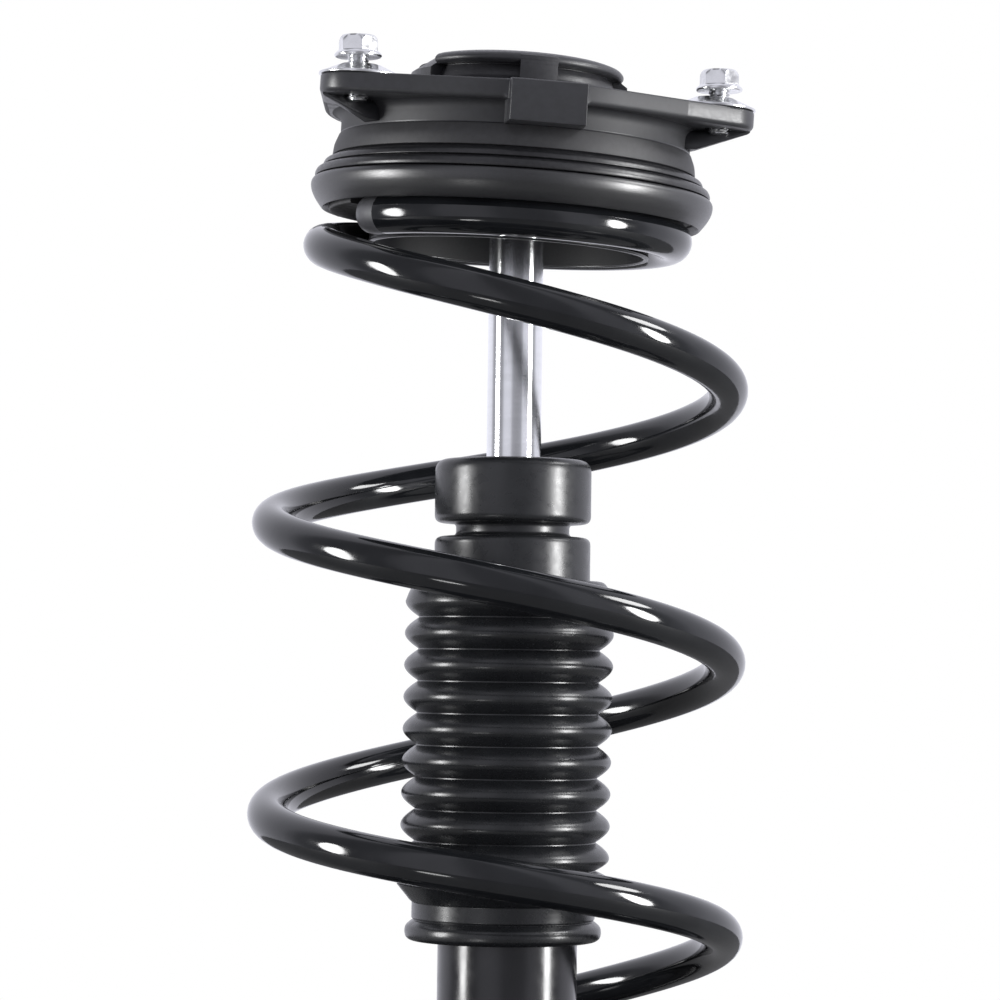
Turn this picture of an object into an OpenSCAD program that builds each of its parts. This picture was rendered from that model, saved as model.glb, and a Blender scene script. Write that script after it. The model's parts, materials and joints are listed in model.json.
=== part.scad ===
// Front strut assembly: twin-tube damper, offset coil spring, spring seats and a bearing top mount.
// +Z runs up the piston rod and the origin is the centre of the tube's closed base.
// The knuckle bracket's ears point to -X. Lengths are in millimetres, angles in degrees.

/* [Outer tube] */
// Outside diameter of the outer tube
tube_d = 51; // [50:0.5:53]
// Wall of the outer tube
tube_wall = 2; // [1.5:0.1:2.4]
// Length of the outer tube, base to rolled top
tube_len = 365; // [355:1:372]
// Thickness of the pressed base that closes the tube
base_t = 4; // [3:0.5:6]

/* [Piston rod] */
// Diameter of the chromed rod
rod_d = 20; // [18:0.5:22]
// Diameter of the threaded tip through the bush core
rod_tip_d = 12; // [10:0.5:14]
// Diameter of the threaded tail through the piston
rod_tail_d = 10; // [8:0.5:12]
// Height of the bush centre above the tube base, fully extended
mount_height = 572; // [566:1:580]
// Size across the flats of the key recess in the rod's tip
key_flats = 5; // [4:0.5:6]

/* [Damper internals] */
// Inside diameter of the pressure tube
pressure_d = 30; // [28:0.5:32]
// Wall of the pressure tube
pressure_wall = 1.5; // [1:0.1:2]
// Height of the base valve
valve_h = 14; // [10:1:20]
// Height of the piston
piston_h = 18; // [14:1:24]
// Height of the nut under the piston
piston_nut_h = 8; // [6:0.5:10]
// Height of the sealing band on the piston
band_h = 9; // [6:0.5:11]
// Depth of the groove that holds the sealing band
band_t = 1; // [0.6:0.1:1.4]
// Height of the rebound stop on the rod
rebound_h = 9; // [6:0.5:12]
// Height of the rod guide's full-width part
guide_h = 15; // [12:0.5:20]
// Length of the rod guide inside the pressure tube
guide_spigot_h = 8; // [5:0.5:12]
// Height of the oil seal
seal_h = 5; // [4:0.5:7]
// Thickness of the rolled lip at the tube's top
roll_t = 2; // [1.5:0.5:3]

/* [Bump stop] */
// Thickness of the striker cap's top
cap_top_t = 4; // [3:0.5:6]
// Wall of the striker cap
cap_wall = 2; // [1.5:0.1:2.5]
// Length of the striker cap's skirt down the tube
cap_skirt = 14; // [10:1:20]
// Diameter of the bump stop's lobes
stop_d = 57.2; // [54:0.2:58]
// Diameter of the bump stop's necks
stop_neck_d = 40; // [36:0.5:44]
// Height of a lobe
stop_lobe_h = 23.2; // [20:0.2:25]
// Height of a neck
stop_neck_h = 6.2; // [4:0.2:8]
// Height of the foot that rests on the striker cap
stop_foot_h = 9.7; // [7:0.1:12]
// Diameter of the foot
stop_foot_d = 50; // [44:0.5:54]
// Radius of the lobes' edges
stop_round = 4; // [2:0.5:5]

/* [Dust boot] */
// Diameter over the ribs
rib_d = 75.6; // [73:0.2:78]
// Diameter in the valleys
valley_d = 65.6; // [63:0.2:67]
// Number of ribs above the flare
rib_count = 9; // [6:1:9]
// Distance from rib to rib
rib_pitch = 11.65; // [10.5:0.05:12]
// Wall of the boot
boot_wall = 1.6; // [1.2:0.1:2]
// Height of the boot's top above the striker cap
boot_grip = 23.6; // [16:0.2:28]
// Height from the first rib's crest to the boot's top
boot_shoulder_h = 8.1; // [7:0.1:10]
// Diameter of the flare above the collar
flare_d = 79.2; // [76:0.2:82]
// Height from the last rib's crest to the flare's edge
flare_drop = 9; // [8:0.1:11]
// Diameter of the plain collar at the foot
collar_d = 67; // [65:0.5:69]
// Height of the plain collar
collar_h = 8.4; // [6:0.2:12]
// Height of the step from the flare's edge to the collar
collar_step_h = 7.7; // [6:0.1:9]
// Diameter of the rolled rim
rim_d = 72; // [70:0.5:75]
// Height of the rolled rim
rim_h = 6.9; // [5:0.1:8]

/* [Coil spring] */
// Diameter of the wire
wire_d = 14.6; // [13:0.1:15]
// Mean diameter of the full coils
coil_d = 166.8; // [162:0.2:170]
// Mean diameter of the narrow top coil
top_coil_d = 120; // [117:0.5:121]
// Sideways offset of the full coils from the rod, towards the wheel
coil_offset = 4.9; // [2:0.1:8]
// Turns from the top end to the bottom end
turns = 4.49; // [4.4:0.01:4.6]
// Heading of the wire's top end, counted from +X
wire_start = 214; // [208:1:220]

/* [Spring seats] */
// Height of the lower pan's floor on the spring's axis
lower_seat_z = 196.4; // [185:0.2:202]
// Lower pan's lean about X, negative drops the back
lower_tilt_x = -4.8; // [-5.5:0.1:0]
// Lower pan's lean about Y, negative drops the wheel side
lower_tilt_y = -3.8; // [-4.5:0.1:0]
// Sheet thickness of the lower pan
pan_t = 3; // [2.5:0.1:4]
// Radial room between the coil and the pan's rim
pan_room = 5; // [4:0.2:7]
// Height of the pan's rim above its floor
pan_rim_h = 11; // [8:0.5:14]
// Depth of the pan's hub below the floor's height
hub_low = 16; // [12:1:20]
// Height of the pan's hub above the floor's height
hub_high = 8; // [7:0.5:12]
// Distance from the wire's inside to the drain holes
drain_inset = 22; // [18:0.5:26]
// Diameter of the pan's two drain holes
drain_d = 9; // [6:0.5:10]
// Thickness of the rubber pads between wire and seats
pad_t = 2.5; // [2:0.1:3]
// Room between the narrow coil and the pilot skirt inside it
pilot_room = 1.1; // [0.8:0.1:1.6]
// Angle from the far end of the pad's wire stop to the wire's end
stop_lead = 48; // [30:1:60]
// Angle that the pad's wire stop covers
stop_sweep = 45; // [20:1:50]
// Wall of the pilot skirt
skirt_wall = 1.7; // [1.4:0.1:2]
// Length of the skirt below the seat's ceiling
skirt_len = 17.4; // [14:0.2:20]
// Largest diameter of the upper seat's cover
cover_d = 148.4; // [146:0.2:150]
// Height of the upper seat's cover
cover_h = 11.2; // [10:0.2:12]

/* [Top mount] */
// Lean of the mount about X, positive drops the front
mount_tilt_x = 1.2; // [0:0.1:2]
// Lean of the mount about Y, positive drops the +X side
mount_tilt_y = 2.9; // [0:0.1:3.4]
// Height of the flange's top face from the bush centre
flange_top = -4.5; // [-5.5:0.1:-3.5]
// Thickness of the flange
flange_t = 7; // [6:0.1:8]
// Diameter of the round part of the flange
flange_d = 142; // [139:0.5:146]
// Diameter of the housing wall under the flange
wall_d = 129; // [126:0.5:131]
// Radius of the cove between the flange and the wall
wall_cove = 3.5; // [2:0.1:3.9]
// Height of the whole cast housing
housing_h = 15; // [13:0.5:17]
// Diameter of the bolt circle
bolt_circle_d = 153.4; // [150:0.2:156]
// Heading of the first lobe, counted from +X
lobe_heading = 222; // [213:1:230]
// Radius of a lobe round its bolt
lobe_r = 13; // [12.5:0.1:15]
// Distance from the mount's axis to the foot of a lobe's gusset
gusset_reach = 69; // [66:0.5:72]
// Heading of the flat pad between two lobes, counted from +X
pad_heading = 279; // [274:1:288]
// Width of the flat pad
pad_w = 27.6; // [24:0.2:30]
// Distance from the mount's axis to the flat pad's face
pad_reach = 75.5; // [73:0.5:77]
// Outside diameter of the rubber bush
bush_d = 60; // [56:0.5:62]
// Diameter of the ball-shaped bush core
core_d = 32; // [30:0.5:34]
// Height of the core's top face over the bush centre
core_top = 4; // [3:0.5:5]
// Depth of the core's lower face under the bush centre
core_bottom = 9; // [8:0.5:10]
// Height of the nut on the rod's tip
nut_h = 9; // [7:0.5:10]
// Size across the flats of the nut on the rod's tip
nut_flats = 18; // [17:0.5:19]
// Thickness of the washer under that nut
nut_washer_t = 2.5; // [2:0.1:3]

/* [Top cap] */
// Largest diameter of the top cap's lip
lip_d = 77; // [74:0.5:80]
// Diameter of the recess under the lip
neck_d = 69.2; // [66:0.2:71]
// Height of the top cap above the flange
cap_h = 16.6; // [15.4:0.2:19]
// Height of the lip
lip_h = 5.4; // [4.6:0.1:6.4]
// Number of webs that cross the recess
web_count = 4; // [3:1:6]
// Heading of the first web, counted from +X
web_heading = 281; // [270:1:290]
// Width of a web
web_w = 14.5; // [10:0.5:18]
// Distance from the mount's axis to a web's outer face
web_reach = 40; // [39:0.5:42]
// Distance from the mount's axis to the top of a web's bevel
bevel_reach = 30.5; // [29:0.5:32]
// Height of a web's bevel
bevel_h = 7.2; // [6:0.2:9]
// Diameter of the opening in the top cap
cap_hole_d = 44; // [42:0.5:50]

/* [Bearing] */
// Diameter of the balls
ball_d = 6; // [5:0.1:6.4]
// Number of balls
ball_count = 24; // [16:1:28]
// Diameter of the ball circle
ball_circle_d = 116; // [112:0.5:120]
// Height of the plain adapter ring under the housing
adapter_h = 8; // [7:0.2:9]
// Diameter at the foot of the adapter ring
adapter_d = 134; // [132:0.5:136]
// Height of the bearing's upper cover
bearing_h = 7.9; // [7.6:0.1:8.6]
// Diameter at the foot of the bearing's upper cover
bearing_d = 146.4; // [144:0.2:148]
// Bore through the bearing and its adapter
bearing_bore_d = 52; // [46:0.5:58]
// Width and depth of the groove round the upper cover
line_w = 0.8; // [0.4:0.1:1.2]

/* [Top bolts] */
// Thread diameter of the three bolts
bolt_d = 8; // [7:0.5:9]
// Size across the flats of the bolt heads
bolt_flats = 13; // [12:0.5:14]
// Diameter of the flange under a bolt head
bolt_flange_d = 17; // [16:0.5:19]
// Height of a bolt head above its flange
bolt_head_h = 5.3; // [5:0.1:7]
// Thickness of the flange under a bolt head
bolt_flange_t = 2.4; // [2:0.1:3]
// Height of the bolt's flange above the washer's crown
bolt_lift = 2.4; // [1:0.1:4.5]
// Length of bolt that shows under the flange
bolt_past = 1.6; // [0.5:0.1:4]
// Diameter of the dished washers
washer_d = 30; // [26:0.5:32]
// Height of the dished washers
washer_h = 4.4; // [3:0.1:5]
// Thickness of the dished washers
washer_t = 1.6; // [1.2:0.1:2]
// Diameter of the lobes' bolt holes
bolt_hole_d = 9.6; // [9.2:0.1:10.2]
// Lean of the loose bolts in their holes, against the mount's own lean
bolt_lean = -2.9; // [-3.4:0.1:3.4]
// Turn of the bolts' hexagons
hex_turn = 14; // [0:1:59]

/* [Knuckle bracket] */
// Sheet thickness of the bracket
bracket_t = 4.5; // [4:0.5:6]
// Height of the bracket's lower edge above the tube base
bracket_z = 8; // [4:1:12]
// Height of the bracket
bracket_h = 106; // [100:1:110]
// Gap between the ears, where the knuckle goes
knuckle_gap = 32; // [28:0.5:34]
// Distance from the rod axis to the knuckle bolts
knuckle_reach = 60; // [56:0.5:66]
// Distance from the lower knuckle bolt to the upper one
knuckle_pitch = 58; // [52:0.5:62]
// Diameter of the knuckle bolt holes
knuckle_hole_d = 14.5; // [12.5:0.5:16.5]
// Metal left round the knuckle bolt holes
ear_margin = 11; // [10:0.5:13]

/* [Small brackets] */
// Height of the sway bar link hole above the tube base
link_z = 150; // [142:1:154]
// Distance from the rod axis to the sway bar link hole
link_reach = 46; // [42:0.5:50]
// Diameter of the sway bar link hole
link_hole_d = 10.5; // [8.5:0.5:12.5]
// Sheet thickness of the link bracket
link_t = 5; // [4:0.5:6]
// Height of the brake hose bracket above the tube base
hose_z = 146; // [136:1:150]
// Distance from the rod axis to the hose hole
hose_reach = 46; // [42:0.5:50]
// Diameter of the hose hole
hose_hole_d = 13; // [10:0.5:14]
// Sheet thickness of the hose bracket
hose_t = 3; // [2:0.5:4]
// Heading of the hose bracket, counted from +X
hose_heading = 250; // [230:5:290]
// Angle that the small brackets' saddles wrap round the tube
saddle_angle = 70; // [50:5:100]
// Metal left round the sway bar link hole
link_margin = 9; // [7:0.5:12]
// Metal left round the hose hole
hose_margin = 5; // [4:0.5:8]
// Length of the hose bracket's leg down the tube
hose_leg = 20; // [14:1:26]

/* [Fits] */
// Radial clearance of parts that slide or turn
run_fit = 0.05; // [0.03:0.01:0.09]
// Gap between parts that only rest together
rest_gap = 0.3; // [0.2:0.05:0.4]
// Running gap between the bearing cover and the upper seat
bearing_gap = 0.4; // [0.3:0.1:0.6]

/* [Hidden] */

$fn = 96;
big = 400;
overlap = 0.01;

// Damper stack, from the base up
tube_r = tube_d / 2;
tube_in_r = tube_r - tube_wall;
rod_r = rod_d / 2;
pressure_r = pressure_d / 2;
seal_top = tube_len - roll_t;
guide_top = seal_top - seal_h;
guide_z = guide_top - guide_h;
pressure_top = guide_z;
rebound_top = guide_z - guide_spigot_h - rest_gap;
rebound_z = rebound_top - rebound_h;
piston_top = rebound_z - 2;
piston_z = piston_top - piston_h;
tail_z = piston_z - piston_nut_h - 3;
striker_z = tube_len + cap_top_t;
rod_shoulder_z = mount_height - core_bottom;
rod_tip_z = mount_height + core_top + nut_washer_t + nut_h + 1;

// Bump stop and boot, standing on the striker cap
stop_foot_top = striker_z + stop_foot_h;
stop_lobe2_z = stop_foot_top + stop_neck_h;
stop_lobe1_z = stop_lobe2_z + stop_lobe_h + stop_neck_h;
stop_top = stop_lobe1_z + stop_lobe_h;
boot_top = striker_z + boot_grip;
first_rib_z = boot_top - boot_shoulder_h;
last_rib_z = first_rib_z - (rib_count - 1) * rib_pitch;
flare_z = last_rib_z - flare_drop;
collar_top = flare_z - collar_step_h;
collar_z = collar_top - collar_h;
boot_z = collar_z - rim_h;
rib_r = rib_d / 2;
flare_r = flare_d / 2;
valley_r = valley_d / 2;
rib_steps = 10;

// Heights along the mount's leaning axis, counted from the bush centre
flange_under = flange_top - flange_t;
housing_z = flange_top - housing_h;
adapter_z = housing_z - adapter_h;
bearing_z = adapter_z - bearing_h;
cover_top = bearing_z - bearing_gap;
ball_z = bearing_z;
ball_r = ball_d / 2;
ball_circle_r = ball_circle_d / 2;
race_w = ball_d + 3;
race_gap = ball_d * 0.23;
race_t = 3.4;
upper_race_z = ball_z + race_gap;
lower_race_z = ball_z - race_gap - race_t;
cage_t = ball_d * 0.26;
seat_ceiling = cover_top - cover_h + 5.8;
coil_top_h = seat_ceiling - pad_t - rest_gap - wire_d / 2;
lean_room = run_fit + 0.1 * abs(bolt_lean);
bolt_reach = flange_t + washer_h - washer_t / 2 + bolt_past;
striker_h = seat_ceiling + 1;
cover_r = cover_d / 2;
top_coil_r = top_coil_d / 2;
skirt_r = top_coil_r - wire_d / 2 - pilot_room;
skirt_in_r = skirt_r - skirt_wall;
pad_out_r = top_coil_r + wire_d / 2 + 0.3;
pad_in_r = skirt_r + run_fit;
seat_hole_r = rod_r + 8;
step_turn = 0.028;

// Spring: drop fraction and coil size along the wire, counted in turns from the top
wire_r = wire_d / 2;
coil_r = coil_d / 2;
open_from = 0.656;
open_to = 1.058;
grow_from = 0.63;
grow_to = 1.39;
close_from = turns - 0.75;
close_to = turns - 0.417;
rings_a_turn = 32;
wire_sides = 10;
last_ring = round(turns * rings_a_turn);
lower_centre = [-coil_offset, 0, lower_seat_z + pad_t + rest_gap + wire_r];
upper_centre = [
    coil_top_h * cos(mount_tilt_x) * sin(mount_tilt_y),
    -coil_top_h * sin(mount_tilt_x),
    mount_height + coil_top_h * cos(mount_tilt_x) * cos(mount_tilt_y)
];

function ramp(n, a, b) = n <= a ? 0 : n >= b ? n - (a + b) / 2 : pow(n - a, 2) / (2 * (b - a));
function drop(n) =
    (ramp(n, open_from, open_to) - ramp(n, close_from, close_to))
    / ((close_from + close_to - open_from - open_to) / 2);
function ease(t) = t <= 0 ? 0 : t >= 1 ? 1 : t * t * (3 - 2 * t);
function mix(a, b, t) = a + (b - a) * t;
function growth(n) = ease((n - grow_from) / (grow_to - grow_from));
function heading(n) = wire_start + 360 * n;
function wire_centre(n) =
    let (
        s = drop(n), g = growth(n), r = mix(top_coil_r, coil_r, g),
        u = r * cos(heading(n)), v = r * sin(heading(n)),
        tx = mix(mount_tilt_x, lower_tilt_x, s), ty = mix(mount_tilt_y, lower_tilt_y, s)
    )
    [
        mix(upper_centre[0], lower_centre[0], g) + u,
        mix(upper_centre[1], lower_centre[1], g) + v,
        mix(upper_centre[2], lower_centre[2], s) - tan(ty) * u + tan(tx) / cos(ty) * v
    ];
function unit(v) = v / norm(v);
function wire_ring(n) =
    let (
        c = wire_centre(n),
        along = unit(wire_centre(n + step_turn) - wire_centre(n - step_turn)),
        out = [cos(heading(n)), sin(heading(n)), 0],
        side = unit(out - (out * along) * along),
        up = cross(along, side)
    )
    [for (i = [0:wire_sides - 1])
        c + wire_r * (cos(360 * (i + 0.5) / wire_sides) * side + sin(360 * (i + 0.5) / wire_sides) * up)];

wire_line = [for (i = [0:last_ring]) wire_centre(i / rings_a_turn)];
function gap_from(i) =
    min([for (j = [i + rings_a_turn / 2:last_ring]) norm(wire_line[i] - wire_line[j]) - wire_d]);
least_wire_gap = min([for (i = [0:last_ring - rings_a_turn / 2]) gap_from(i)]);
echo(least_wire_gap = least_wire_gap, stop_to_striker = mount_height + striker_h - stop_top);

// Knuckle bracket
collar_r = tube_r + run_fit + bracket_t;
ear_y = knuckle_gap / 2;
ear_tip = knuckle_reach + knuckle_hole_d / 2 + ear_margin;
knuckle_z = bracket_z + (bracket_h - knuckle_pitch) / 2;

module ring(r_out, r_in, z0, z1) {
    translate([0, 0, z0]) difference() {
        cylinder(r = r_out, h = z1 - z0);
        translate([0, 0, -1]) cylinder(r = r_in, h = z1 - z0 + 2);
    }
}
module revolve(points) { rotate_extrude() polygon(points); }
module on_mount() {
    translate([0, 0, mount_height]) rotate([mount_tilt_x, mount_tilt_y, 0]) children();
}
module on_pan() {
    translate([-coil_offset, 0, lower_seat_z]) rotate([lower_tilt_x, lower_tilt_y, 0]) children();
}
module three_times() { for (i = [0:2]) rotate([0, 0, lobe_heading + 120 * i]) children(); }
module hexagon(flats, h) { cylinder(r = flats / 2 / cos(30), h = h, $fn = 6); }

// Damper tube and what it holds

module strut_tube() {
    color([0.06, 0.06, 0.065]) revolve([
        [tube_in_r, 0], [tube_r, 0], [tube_r, tube_len - 1.5], [tube_r - 1.5, tube_len],
        [tube_in_r - 3, tube_len], [tube_in_r - 3, seal_top], [tube_in_r, seal_top]
    ]);
}
module tube_base() {
    color([0.08, 0.08, 0.085]) cylinder(r = tube_in_r - run_fit, h = base_t);
}
module pressure_tube() {
    color([0.55, 0.56, 0.58]) ring(pressure_r + pressure_wall, pressure_r, base_t, pressure_top);
}
module base_valve() {
    color([0.6, 0.55, 0.45]) difference() {
        translate([0, 0, base_t]) cylinder(r = pressure_r - run_fit, h = valve_h);
        for (i = [0:5]) rotate([0, 0, 60 * i]) translate([pressure_r * 0.6, 0, base_t - 1])
            cylinder(r = 1.5, h = valve_h + 2);
    }
}
module rod_guide() {
    color([0.5, 0.48, 0.44]) difference() {
        union() {
            translate([0, 0, guide_z]) cylinder(r = tube_in_r - run_fit, h = guide_h);
            translate([0, 0, guide_z - guide_spigot_h])
                cylinder(r = pressure_r - run_fit, h = guide_spigot_h + 1);
        }
        translate([0, 0, guide_z - guide_spigot_h - 1]) cylinder(r = rod_r + run_fit, h = big);
    }
}
module rod_seal() {
    color([0.1, 0.1, 0.1]) ring(tube_in_r - run_fit, rod_r + run_fit, guide_top, seal_top);
}
module striker_cap() {
    color([0.09, 0.09, 0.09]) difference() {
        translate([0, 0, tube_len - cap_skirt])
            cylinder(r = tube_r + run_fit + cap_wall, h = cap_skirt + cap_top_t);
        translate([0, 0, tube_len - cap_skirt - 1]) cylinder(r = tube_r + run_fit, h = cap_skirt + 1);
        cylinder(r = rod_r + 1, h = big * 2);
    }
}

// Bump stop: two lobes and a foot, moulded in one piece and threaded on the rod

function lobe_edge(r, z0, z1, e) = [
    for (a = [-90:15:0]) [r - e + e * cos(a), z0 + e + e * sin(a)],
    for (a = [0:15:90]) [r - e + e * cos(a), z1 - e + e * sin(a)]
];
module bump_stop() {
    bore_r = rod_r + run_fit;
    neck_r = stop_neck_d / 2;
    color([0.07, 0.07, 0.07]) revolve(concat(
        [[bore_r, striker_z]],
        lobe_edge(stop_foot_d / 2, striker_z, stop_foot_top, 2),
        [[neck_r, stop_foot_top + 0.6], [neck_r, stop_lobe2_z - 0.6]],
        lobe_edge(stop_d / 2, stop_lobe2_z, stop_lobe2_z + stop_lobe_h, stop_round / 2),
        [[neck_r, stop_lobe2_z + stop_lobe_h + 0.6], [neck_r, stop_lobe1_z - 0.6]],
        lobe_edge(stop_d / 2, stop_lobe1_z, stop_top, stop_round),
        [[bore_r, stop_top]]
    ));
}

// Dust boot: a ribbed rubber sleeve from the bump stop's lower lobe down round the tube

function rib_wave(t) = pow(abs(sin(180 * t)), 1.1);
function boot_side(inset) = [
    for (k = [0:rib_count - 2], i = [0:rib_steps - 1])
        let (t = 0.5 + i / rib_steps)
        [mix(valley_r, rib_r, rib_wave(t)) - inset, first_rib_z - (k + i / rib_steps) * rib_pitch],
    for (i = [0:rib_steps])
        let (t = 0.5 + i / rib_steps, crest_r = t < 1 ? rib_r : flare_r)
        [mix(valley_r, crest_r, rib_wave(t)) - inset, last_rib_z - i / rib_steps * flare_drop]
];
module dust_boot() {
    grip_r = stop_d / 2 + rest_gap;
    lip_r = tube_r + rest_gap;
    plain_r = collar_d / 2;
    rim_r = rim_d / 2;
    outer = concat(
        [[grip_r, boot_top], [rib_r - 3.4, boot_top - 0.4], [rib_r - 1.2, boot_top - 3.6]],
        boot_side(0),
        [[flare_r - 1, flare_z - 1.6], [plain_r + 0.7, collar_top + 0.8], [plain_r, collar_top],
         [plain_r, collar_z + 0.8], [plain_r - 0.7, collar_z + 0.4], [plain_r, collar_z],
         [rim_r - 0.5, collar_z - 1.6], [rim_r, boot_z + rim_h * 0.5], [rim_r - 0.5, boot_z + 1.2],
         [rim_r - 2, boot_z], [lip_r, boot_z]]
    );
    inner = concat(
        [[grip_r, boot_top - boot_wall], [rib_r - 4.2, boot_top - 0.6 - boot_wall]],
        boot_side(boot_wall),
        [[plain_r - boot_wall, collar_top], [plain_r - boot_wall, boot_z + 2.4], [lip_r, boot_z + 2]]
    );
    color([0.06, 0.06, 0.06]) revolve(concat(outer, [for (i = [len(inner) - 1:-1:0]) inner[i]]));
}

// Coil spring: one wire, swept ring by ring from the top end to the bottom end

module coil_spring() {
    rings = [for (i = [0:last_ring]) wire_ring(i / rings_a_turn)];
    points = [for (r = rings, p = r) p];
    m = wire_sides;
    end = last_ring * m;
    sides = [for (i = [0:last_ring - 1], j = [0:m - 1])
        let (a = i * m + j, b = i * m + (j + 1) % m)
        each [[a, b, a + m], [b, b + m, a + m]]];
    caps = [for (j = [1:m - 2]) each [[0, j + 1, j], [end, end + j, end + j + 1]]];
    color([0.05, 0.05, 0.055]) polyhedron(points, concat(sides, caps));
}

// Lower seat: a pressed pan welded round the tube, and its rubber pad

module lower_spring_seat() {
    floor_in = coil_r - wire_r - 4;
    rim_r = coil_r + wire_r + pan_room;
    color([0.06, 0.06, 0.065]) difference() {
        union() {
            on_pan() revolve([
                [tube_r, 7 - pan_t], [floor_in - 12, 4 - pan_t], [floor_in, -pan_t], [rim_r - 3, -pan_t],
                [rim_r + pan_t, 3], [rim_r + pan_t, pan_rim_h], [rim_r, pan_rim_h], [rim_r, 4],
                [rim_r - 4, 0], [floor_in, 0], [floor_in - 12, 4], [tube_r, 7]
            ]);
            translate([0, 0, lower_seat_z - hub_low])
                cylinder(r = tube_r + pan_t, h = hub_low + hub_high);
        }
        cylinder(r = tube_r + run_fit, h = big);
        on_pan() for (a = [100, 280]) rotate([0, 0, a])
            translate([coil_r - wire_r - drain_inset, 0, -big / 2]) cylinder(r = drain_d / 2, h = big);
    }
}
module lower_seat_pad() {
    color([0.07, 0.07, 0.07]) on_pan() ring(coil_r + wire_r - 1, coil_r - wire_r + 1, 0, pad_t);
}

// Knuckle bracket: sheet wrapped round the tube, with two drilled ears

module knuckle_bracket() {
    color([0.06, 0.06, 0.065]) difference() {
        union() {
            translate([0, 0, bracket_z]) cylinder(r = collar_r, h = bracket_h);
            for (s = [-1, 1]) translate([-ear_tip, s > 0 ? ear_y : -ear_y - bracket_t, bracket_z])
                cube([ear_tip, bracket_t, bracket_h]);
        }
        translate([0, 0, bracket_z - 1]) cylinder(r = tube_r + run_fit, h = bracket_h + 2);
        for (s = [-1, 1], e = [0, 1])
            translate([-ear_tip, 0, bracket_z + e * bracket_h]) rotate([0, 45, 0])
                cube([18, big, 18], center = true);
        for (i = [0, 1]) translate([-knuckle_reach, big / 2, knuckle_z + i * knuckle_pitch])
            rotate([90, 0, 0]) cylinder(r = knuckle_hole_d / 2, h = big);
    }
}

// Small brackets: saddles on the tube that carry a plate each

module saddle(z0, z1, t) {
    rotate([0, 0, -saddle_angle / 2]) translate([0, 0, z0])
        rotate_extrude(angle = saddle_angle) translate([tube_r + run_fit, 0]) square([t, z1 - z0]);
}
module sway_bar_link_bracket() {
    half_h = link_hole_d / 2 + link_margin;
    color([0.06, 0.06, 0.065]) rotate([0, 0, 90]) difference() {
        union() {
            saddle(link_z - half_h, link_z + half_h, 3);
            translate([tube_r + 1, -link_t / 2, link_z - half_h])
                cube([link_reach - tube_r - 1, link_t, 2 * half_h]);
            translate([link_reach, link_t / 2, link_z]) rotate([90, 0, 0]) cylinder(r = half_h, h = link_t);
        }
        translate([link_reach, big / 2, link_z]) rotate([90, 0, 0]) cylinder(r = link_hole_d / 2, h = big);
    }
}
module brake_hose_bracket() {
    half_w = hose_hole_d / 2 + hose_margin;
    color([0.06, 0.06, 0.065]) rotate([0, 0, hose_heading]) difference() {
        union() {
            saddle(hose_z - hose_leg, hose_z + hose_t, 2.5);
            translate([tube_r + 1, -half_w, hose_z])
                cube([hose_reach - tube_r - 1, 2 * half_w, hose_t]);
            translate([hose_reach, 0, hose_z]) cylinder(r = half_w, h = hose_t);
        }
        translate([hose_reach, 0, hose_z - 1]) cylinder(r = hose_hole_d / 2, h = hose_t + 2);
    }
}

// Upper seat: pressed cover with a pilot skirt inside the narrow coil

module upper_spring_seat() {
    rim = cover_top - cover_h;
    skirt_end = seat_ceiling - skirt_len;
    groove_r = pad_out_r + 0.05;
    color([0.1, 0.1, 0.11]) on_mount() difference() {
        revolve([
            [seat_hole_r, striker_h], [seat_hole_r, cover_top], [cover_r - 1, cover_top],
            [cover_r - 0.3, cover_top - 1.4], [cover_r, cover_top - 3.4], [cover_r - 0.2, cover_top - 5.6],
            [cover_r - 1.3, cover_top - 8], [cover_r - 3.4, rim + 1.2], [cover_r - 4.6, rim],
            [groove_r, rim + 3.2], [groove_r, seat_ceiling], [skirt_r, seat_ceiling],
            [skirt_r, skirt_end + 1.4], [skirt_r + 0.5, skirt_end + 0.7], [skirt_r - 0.2, skirt_end],
            [skirt_in_r, skirt_end], [skirt_in_r, striker_h]
        ]);
        ring(ball_circle_r + race_w / 2 + 0.5, ball_circle_r - race_w / 2 - 0.5, lower_race_z, big);
    }
}
module upper_seat_pad() {
    color([0.07, 0.07, 0.07]) on_mount() union() {
        ring(pad_out_r, pad_in_r, seat_ceiling - pad_t, seat_ceiling);
        rotate([0, 0, wire_start - stop_lead]) translate([0, 0, seat_ceiling - pad_t - 4])
            rotate_extrude(angle = stop_sweep) translate([pad_in_r + 0.5, 0])
                square([pad_out_r - pad_in_r - 1, 4.5]);
    }
}

// Thrust bearing between the upper seat and the mount

module race_track() {
    rotate_extrude() translate([ball_circle_r, ball_z]) circle(r = ball_r + run_fit, $fn = 48);
}
module race(z0) {
    difference() {
        ring(ball_circle_r + race_w / 2, ball_circle_r - race_w / 2, z0, z0 + race_t);
        race_track();
    }
}
module balls(r) {
    for (i = [0:ball_count - 1]) rotate([0, 0, 360 * i / ball_count])
        translate([ball_circle_r, 0, ball_z]) sphere(r = r, $fn = 32);
}
module bearing_lower_race() { color([0.7, 0.7, 0.72]) on_mount() race(lower_race_z); }
module bearing_upper_race() { color([0.7, 0.7, 0.72]) on_mount() race(upper_race_z); }
module bearing_balls() { color([0.8, 0.8, 0.82]) on_mount() balls(ball_r); }
module ball_cage() {
    color([0.75, 0.72, 0.6]) on_mount() difference() {
        ring(ball_circle_r + race_w / 2 - 0.5, ball_circle_r - race_w / 2 + 0.5,
            ball_z - cage_t / 2, ball_z + cage_t / 2);
        balls(ball_r + run_fit);
    }
}
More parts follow.
